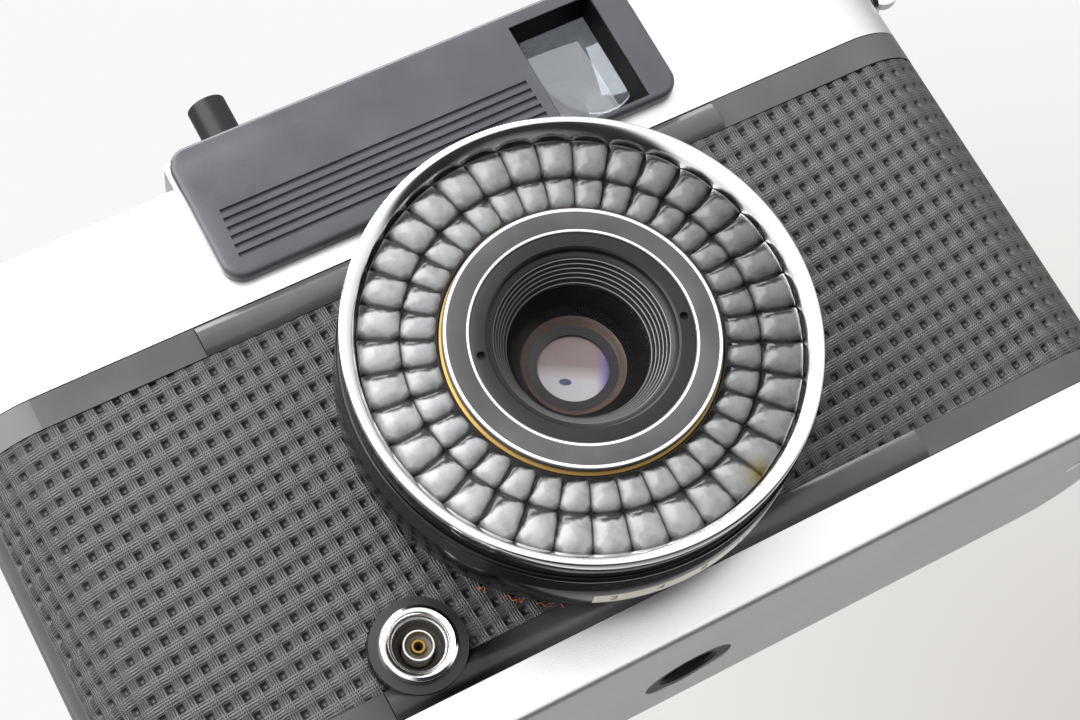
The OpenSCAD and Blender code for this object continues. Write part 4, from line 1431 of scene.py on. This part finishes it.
@dataclass
class Housing:
    """The covers, the plates and what is fixed to them."""

    plate_low: tuple[float, float] = (-24.9, 52.2)
    plate_high: tuple[float, float] = (27.7, 68.05)
    plate_y: float = -9.2
    plate_corner: float = 2.3
    plate_thick: float = 1.46
    plate_round: float = 0.55
    window_low: tuple[float, float] = (14.2, 52.9)
    window_high: tuple[float, float] = (24.0, 66.3)
    grooves: int = 6
    groove_x: tuple[float, float] = (-22.8, 13.1)
    groove_z: float = 54.3
    groove_step: float = 1.03
    groove_size: tuple[float, float] = (0.38, 0.52)
    base_width: float = 112
    base_front: float = -7.7
    base_depth: float = 29.5
    base_height: float = 5.28
    base_corner: float = 8.5
    base_round: float = 0.85
    tripod: tuple[float, float, float] = (1.9, 9.2, 5.06)
    release: tuple[float, float, float] = (-21.6, 9.3, 2.6)
    screw: tuple[float, float, float] = (49.9, 6.1, 1.35)
    pane_y: float = -5.7
    insets: tuple[float, float, float, float] = (1.2, 0.4, 1.2, 0.35)

    def nameplate(self) -> Mesh:
        """Builds the plate with its rounded edge, its window and its grooves.

        Returns:
            The bmesh.
        """
        mesh = bmesh.new()
        face = plate_outline(mesh, self.plate_low, self.plate_high, self.plate_y,
                             self.plate_corner)
        made = bmesh.ops.extrude_face_region(mesh, geom=[face])["geom"]
        deep = [item for item in made if isinstance(item, bmesh.types.BMVert)]
        bmesh.ops.translate(mesh, vec=(0, self.plate_thick, 0), verts=deep)
        outward(mesh)
        rim = [e for e in mesh.edges if all(abs(v.co.y - self.plate_y) < 1e-4 for v in e.verts)
               and e.calc_face_angle(0) > 0.5]
        bmesh.ops.bevel(mesh, geom=rim, offset=self.plate_round, offset_type="OFFSET", segments=4,
                        profile=0.5, affect="EDGES", clamp_overlap=True, material=-1)
        return mesh

    def cutters(self) -> Mesh:
        """Makes the shapes that are cut out of the nameplate.

        Returns:
            The bmesh.
        """
        mesh = bmesh.new()
        y = self.plate_y
        add_box(mesh, (self.window_low[0], y - 1, self.window_low[1]),
                (self.window_high[0], y + 3, self.window_high[1]))
        left, right = self.groove_x
        deep, wide = self.groove_size
        for i in range(self.grooves):
            z = self.groove_z + self.groove_step * i
            add_box(mesh, (left + 0.08 * i, y - 1, z), (right - 0.04 * i, y + deep, z + wide))
        return mesh

    def base(self, finishes: Finishes) -> Piece:
        """Builds the bottom cover with its blasted edge and the openings in it.

        Args:
            finishes: the materials.

        Returns:
            The piece.
        """
        mesh = bmesh.new()
        made = bmesh.ops.create_grid(mesh, x_segments=1, y_segments=1, size=0.5)["verts"]
        for vert in made:
            depth = self.base_front + (vert.co.y + 0.5) * self.base_depth
            vert.co = Vector((vert.co.x * self.base_width, depth, 0))
        bmesh.ops.bevel(mesh, geom=made, offset=self.base_corner, offset_type="OFFSET", segments=16,
                        profile=0.5, affect="VERTICES", clamp_overlap=True, material=-1)
        grown = bmesh.ops.extrude_face_region(mesh, geom=mesh.faces[:])["geom"]
        upper = [item for item in grown if isinstance(item, bmesh.types.BMVert)]
        bmesh.ops.translate(mesh, vec=(0, 0, self.base_height), verts=upper)
        outward(mesh)
        rim = [e for e in mesh.edges if all(abs(v.co.z) < 1e-4 for v in e.verts)
               and e.calc_face_angle(0) > 0.5]
        bmesh.ops.bevel(mesh, geom=rim, offset=self.base_round, offset_type="OFFSET", segments=6,
                        profile=0.5, affect="EDGES", clamp_overlap=True, material=-1)
        piece = to_object("base_cover", mesh, finishes.blasted)
        holes = bmesh.new()
        for (x, y, radius), steps in ((self.tripod, 64), (self.release, 48)):
            add_rod(holes, (x, y, -1), (x, y, 7), radius, steps)
        for side in (-1, 1):
            x, y, radius = self.screw
            add_rod(holes, (side * x, y, -1), (side * x, y, 0.95), radius, 32)
        carve(piece, holes)
        return piece

    def mask(self) -> Mesh:
        """Builds the black throat that narrows from the nameplate to the window.

        Returns:
            The bmesh.
        """
        mesh = bmesh.new()
        low, high = self.window_low, self.window_high
        loops = []
        for grow, y in (((0, 0, 0, 0), self.plate_y + 0.3), (self.insets, self.pane_y)):
            left, right, below, above = grow
            made = bmesh.ops.create_grid(mesh, x_segments=1, y_segments=1, size=0.5)["verts"]
            x0, x1, z0, z1 = low[0] + left, high[0] - right, low[1] + below, high[1] - above
            for vert in made:
                across, up = vert.co.x + 0.5, vert.co.y + 0.5
                vert.co = Vector((x0 + across * (x1 - x0), y, z0 + up * (z1 - z0)))
            loops += list({edge for vert in made for edge in vert.link_edges})
        bmesh.ops.delete(mesh, geom=mesh.faces[:], context="FACES_ONLY")
        bmesh.ops.bridge_loops(mesh, edges=loops)
        bmesh.ops.recalc_face_normals(mesh, faces=mesh.faces)
        bmesh.ops.solidify(mesh, geom=mesh.faces[:], thickness=0.12)
        bmesh.ops.recalc_face_normals(mesh, faces=mesh.faces)
        return mesh

    def pane(self) -> Mesh:
        """Builds the finder's front glass.

        Returns:
            The bmesh.
        """
        mesh = bmesh.new()
        add_box(mesh, (self.window_low[0] + 0.3, self.pane_y, self.window_low[1] + 0.3),
                (self.window_high[0] - 0.15, self.pane_y + 0.9, self.window_high[1] - 0.15))
        bevel_sharp(mesh, 0.08)
        return mesh

    def build(self, finishes: Finishes) -> None:
        """Makes the housing's pieces and dresses its nodes.

        Args:
            finishes: the materials.
        """
        plate = to_object("finder_plate", self.nameplate(), finishes.slate)
        carve(plate, self.cutters())
        settle(plate, Body.BODY, Slot.SLATE, "nameplate")
        settle(to_object("finder_throat", self.mask(), finishes.deep_black), Body.BODY, Slot.ANODISED)
        settle(to_object("finder_pane", self.pane(), finishes.finder_glass), Body.BODY, Slot.CLEAR,
               "finder_window")
        settle(self.base(finishes), Body.BODY, Slot.SATIN_CHROME, "bottom_cover")
        dress("top_cover", finishes.satin_chrome)
        for node in ("main_casting", "front_plate", "back_cover"):
            dress(node, finishes.enamel)
        for node in ("strap_lugs", "accessory_shoe", "rewind_knob", "rewind_crank"):
            dress(node, finishes.chrome)
        for node in ("shoe_screws", "crank_pin", "rewind_fork", "button_spring", "hinge_pin", "back_latch",
                     "pressure_spring", "rewind_release", "base_screws", "sprocket"):
            dress(node, finishes.steel)
        for node in ("shoe_contact", "advance_gear", "sprocket_gear"):
            dress(node, finishes.brass)
        for node in ("finder_rear_lens", "counter_window"):
            dress(node, finishes.glass)
        dress("finder_front_lens", finishes.finder_lens)
        for node in ("advance_wheel", "take_up_spool"):
            dress(node, finishes.plastic)
        # The tripod bush takes the black finish as painted shade inside its hole.
        for node in ("button_collar", "shutter_button", "eyepiece_frame", "pressure_plate", "counter_dial",
                     "tripod_bush"):
            dress(node, finishes.anodised)
        dress("finder_tube", finishes.deep_black)
        dress("light_seals", finishes.felt)
        dress("warning_flag", finishes.red)


@dataclass
class FlashSocket:
    """The coaxial socket: a rounded chrome flange, stepped inner rings and the pin."""

    x: float = -25.1
    z: float = 10.9
    y: float = -9.62

    def build(self, finishes: Finishes) -> None:
        """Makes the socket's pieces.

        Args:
            finishes: the materials.
        """
        y = self.y
        shell = turned([(2.75, y + 0.45), (3.0, y + 0.08), (3.4, y), (3.7, y + 0.16), (3.85, y + 0.5),
                        (3.85, y + 0.9), (3.2, y + 0.9), (3.2, y + 6.1), (2.0, y + 6.1), (2.0, y + 3.3),
                        (2.75, y + 3.3)], self.x, self.z, 96, 0.08)
        settle(to_object("socket_shell", shell, finishes.chrome), Body.BODY, Slot.CHROME, "sync_socket")
        liner = turned([(2.55, y + 1.0), (2.7, y + 0.9), (2.7, y + 3.2), (1.7, y + 3.2), (1.8, y + 2.9),
                        (2.3, y + 2.5)], self.x, self.z, 96, 0.05)
        settle(to_object("socket_liner", liner, finishes.steel), Body.BODY, Slot.STEEL)
        core = turned([(0.75, y + 1.9), (1.3, y + 1.9), (1.3, y + 1.2), (1.38, y + 1.1), (1.5, y + 1.1),
                       (1.56, y + 1.2), (1.56, y + 5.5), (0.75, y + 5.5)], self.x, self.z, 64, 0.03)
        settle(to_object("socket_core", core, finishes.insulator), Body.BODY, Slot.STEEL, "sync_insulator")
        lip = turned([(1.28, y + 1.12), (1.36, y + 0.98), (1.5, y + 0.98), (1.6, y + 1.14), (1.6, y + 1.5),
                      (1.28, y + 1.5)], self.x, self.z, 64, 0)
        settle(to_object("socket_ring", lip, finishes.chrome), Body.BODY, Slot.STEEL)
        pin = turned([(0.38, y + 1.5), (0.48, y + 1.35), (0.66, y + 1.35), (0.74, y + 1.5), (0.74, y + 5.5),
                      (0.38, y + 5.5)], self.x, self.z, 48, 0)
        settle(to_object("socket_pin", pin, finishes.brass), Body.BODY, Slot.BRASS, "sync_pin")


@dataclass
class CementFibres:
    """Rusty threads of old cement where the covering meets the barrel."""

    radius: float = 21.8
    axis_z: float = 27.5
    y: float = -7.95
    thickness: float = 0.055
    places: tuple[tuple[float, float], ...] = (
        (219, 0.5), (225, 0.9), (229, 0.4), (234, 1.0), (240, 0.6), (243, 1.1))

    def build(self, finishes: Finishes) -> None:
        """Makes the fibres as one piece.

        Args:
            finishes: the materials.
        """
        curve = bpy.data.curves.new("fibres", "CURVE")
        curve.dimensions = "3D"
        curve.bevel_depth = self.thickness
        curve.bevel_resolution = 2
        for number, (angle, length) in enumerate(self.places):
            strand = curve.splines.new("NURBS")
            strand.points.add(4)
            strand.use_endpoint_u = True
            strand.order_u = 3
            for index, point in enumerate(strand.points):
                turn = math.radians(angle + index * length * 1.1)
                out = self.radius + 0.35 * math.sin(index * 2.1 + number) + 0.3
                lift = 0.12 * math.cos(index * 1.7 + number * 2)
                point.co = (out * math.cos(turn), self.y + lift, self.axis_z + out * math.sin(turn), 1)
        piece = to_object("cement_fibres", baked("fibres", curve), finishes.rust)
        settle(piece, Body.BODY, Slot.LEATHERETTE)


# ---------------------------------------------------------------- stage


@dataclass
class Studio:
    """The camera, the lights, the pale floor and the backdrop."""

    eye: Vector = field(default_factory=lambda: Vector((-64.19, -221.83, -36.10)))
    azimuth: float = 16.5688
    elevation: float = 16.9126
    roll: float = 29.7333
    focal: float = 77.53
    backdrop_y: float = 150.0
    # Middle and colours of the backdrop's painted shadow.
    shade_x: float = 110.0
    shade_z: float = -35.0
    pale: Colour = (0.92, 0.92, 0.91)
    shades: tuple[tuple[float, Colour], ...] = (
        (0.0, (0.68, 0.655, 0.63)), (0.5, (0.83, 0.82, 0.80)), (1.0, (0.94, 0.94, 0.94)))

    def camera(self) -> None:
        """Places the camera from its direction, height angle and roll."""
        az, el, roll = (math.radians(v) for v in (self.azimuth, self.elevation, self.roll))
        forward = Vector((math.sin(az) * math.cos(el), math.cos(az) * math.cos(el), math.sin(el)))
        right = forward.cross(Vector((0, 0, 1))).normalized()
        up = right.cross(forward)
        across = math.cos(roll) * right - math.sin(roll) * up
        upward = math.sin(roll) * right + math.cos(roll) * up
        data = bpy.data.cameras.new("camera")
        data.lens = self.focal
        data.sensor_width = 36
        data.clip_start = 0.005
        data.clip_end = 20
        seen = bpy.data.objects.new("camera", data)
        turn = Matrix((across, upward, -forward)).transposed().to_4x4()
        seen.matrix_world = Matrix.Translation(self.eye * MM) @ turn
        bpy.context.scene.collection.objects.link(seen)
        bpy.context.scene.camera = seen

    @staticmethod
    def light(name: str, place: Sequence[float], size: tuple[float, float], power: float) -> None:
        """Adds a soft rectangular light that faces the camera's body.

        Args:
            name: its name.
            place: where it stands, in metres.
            size: its width and height in metres.
            power: its power in watts.
        """
        data = bpy.data.lights.new(name, "AREA")
        data.shape = "RECTANGLE"
        data.size, data.size_y = size
        data.energy = power
        lamp = bpy.data.objects.new(name, data)
        lamp.location = place
        aim = Vector((0, 0, 0.03))
        lamp.rotation_euler = (aim - Vector(place)).to_track_quat("-Z", "Y").to_euler()
        bpy.context.scene.collection.objects.link(lamp)

    def floor_finish(self) -> Material:
        """Makes the pale matt floor, clear from below.

        Returns:
            The material.
        """
        graph = Graph("pale_floor")
        graph.set(Base_Color=self.pale, Roughness=0.9, Emission_Color=self.pale, Emission_Strength=0.0)
        graph.clear_behind()
        return graph.material

    def backdrop_finish(self) -> Material:
        """Makes the pale backdrop with a painted soft warm shadow low on its right, clear from behind.

        Returns:
            The material.
        """
        graph = Graph("pale_backdrop")
        graph.set(Base_Color=(0, 0, 0), Specular_IOR_Level=0.0, Roughness=1.0, Emission_Strength=1.0)
        # Painted shadow: the glow darkens towards the point at shade_x and shade_z.
        away = graph.distance(Vector((self.shade_x, self.backdrop_y, self.shade_z)) * MM)
        shade = graph.ramp(graph.span(away, 0.02, 0.16, 0, 1), self.shades)
        graph.feed(shade, "Emission Color")
        graph.clear_behind()
        return graph.material

    @staticmethod
    def sheet(name: str, size: float, place: Matrix, material: Material) -> None:
        """Adds a flat stage sheet that only the camera sees.

        Args:
            name: its name.
            size: half its side in millimetres.
            place: its place.
            material: its material.
        """
        mesh = bmesh.new()
        bmesh.ops.create_grid(mesh, x_segments=1, y_segments=1, size=size)
        bmesh.ops.transform(mesh, matrix=place, verts=mesh.verts)
        piece = to_object(name, mesh, material)
        for ray in ("diffuse", "glossy", "transmission", "shadow"):
            setattr(piece, f"visible_{ray}", False)

    @staticmethod
    def sky() -> None:
        """Makes the room's light: strong from the front, soft from behind, dark in the floor's band."""
        graph = SkyGraph("pale_room")
        place = graph.nodes.new("ShaderNodeTexCoord").outputs["Generated"]
        direction = graph.parts(place)
        room = graph.fall(direction["Y"], [(-0.5, 1.3), (0.25, 0.5), (1.0, 0.42)])
        below = graph.fall(direction["Z"], [(-1.0, 0.25), (-0.86, 0.02), (-0.60, 0.02), (-0.48, 1.0)])
        ahead = graph.fall(direction["Y"], [(0.0, 0.0), (0.35, 1.0), (1.0, 1.0)])
        graph.feed(graph.math("MULTIPLY", room, graph.math("MAXIMUM", below, ahead)), "Color")
        graph.shader.inputs["Strength"].default_value = 0.9

    def build(self) -> None:
        """Sets the stage."""
        self.camera()
        bpy.context.scene.view_settings.view_transform = "Standard"
        self.sky()
        self.sheet("floor", 2500, Matrix.Identity(4), self.floor_finish())
        wall = Matrix.Translation((0, self.backdrop_y, 0)) @ Matrix.Rotation(math.pi / 2, 4, "X")
        self.sheet("backdrop", 900, wall, self.backdrop_finish())
        self.light("key", (-0.55, -0.75, 0.55), (1.3, 0.95), 16)
        self.light("top", (0.0, -0.1, 0.9), (0.8, 0.5), 8)


def main() -> None:
    """Builds the camera's pieces and the stage."""
    logging.basicConfig(level=logging.INFO, format="%(message)s")
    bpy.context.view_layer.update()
    finishes = Finishes()
    Studio().build()
    for group in (Housing(), Covering(), Lens(), FlashSocket(), CementFibres()):
        group.build(finishes)
        LOG.info("%s is done", type(group).__name__)


if __name__ == "__main__":
    main()
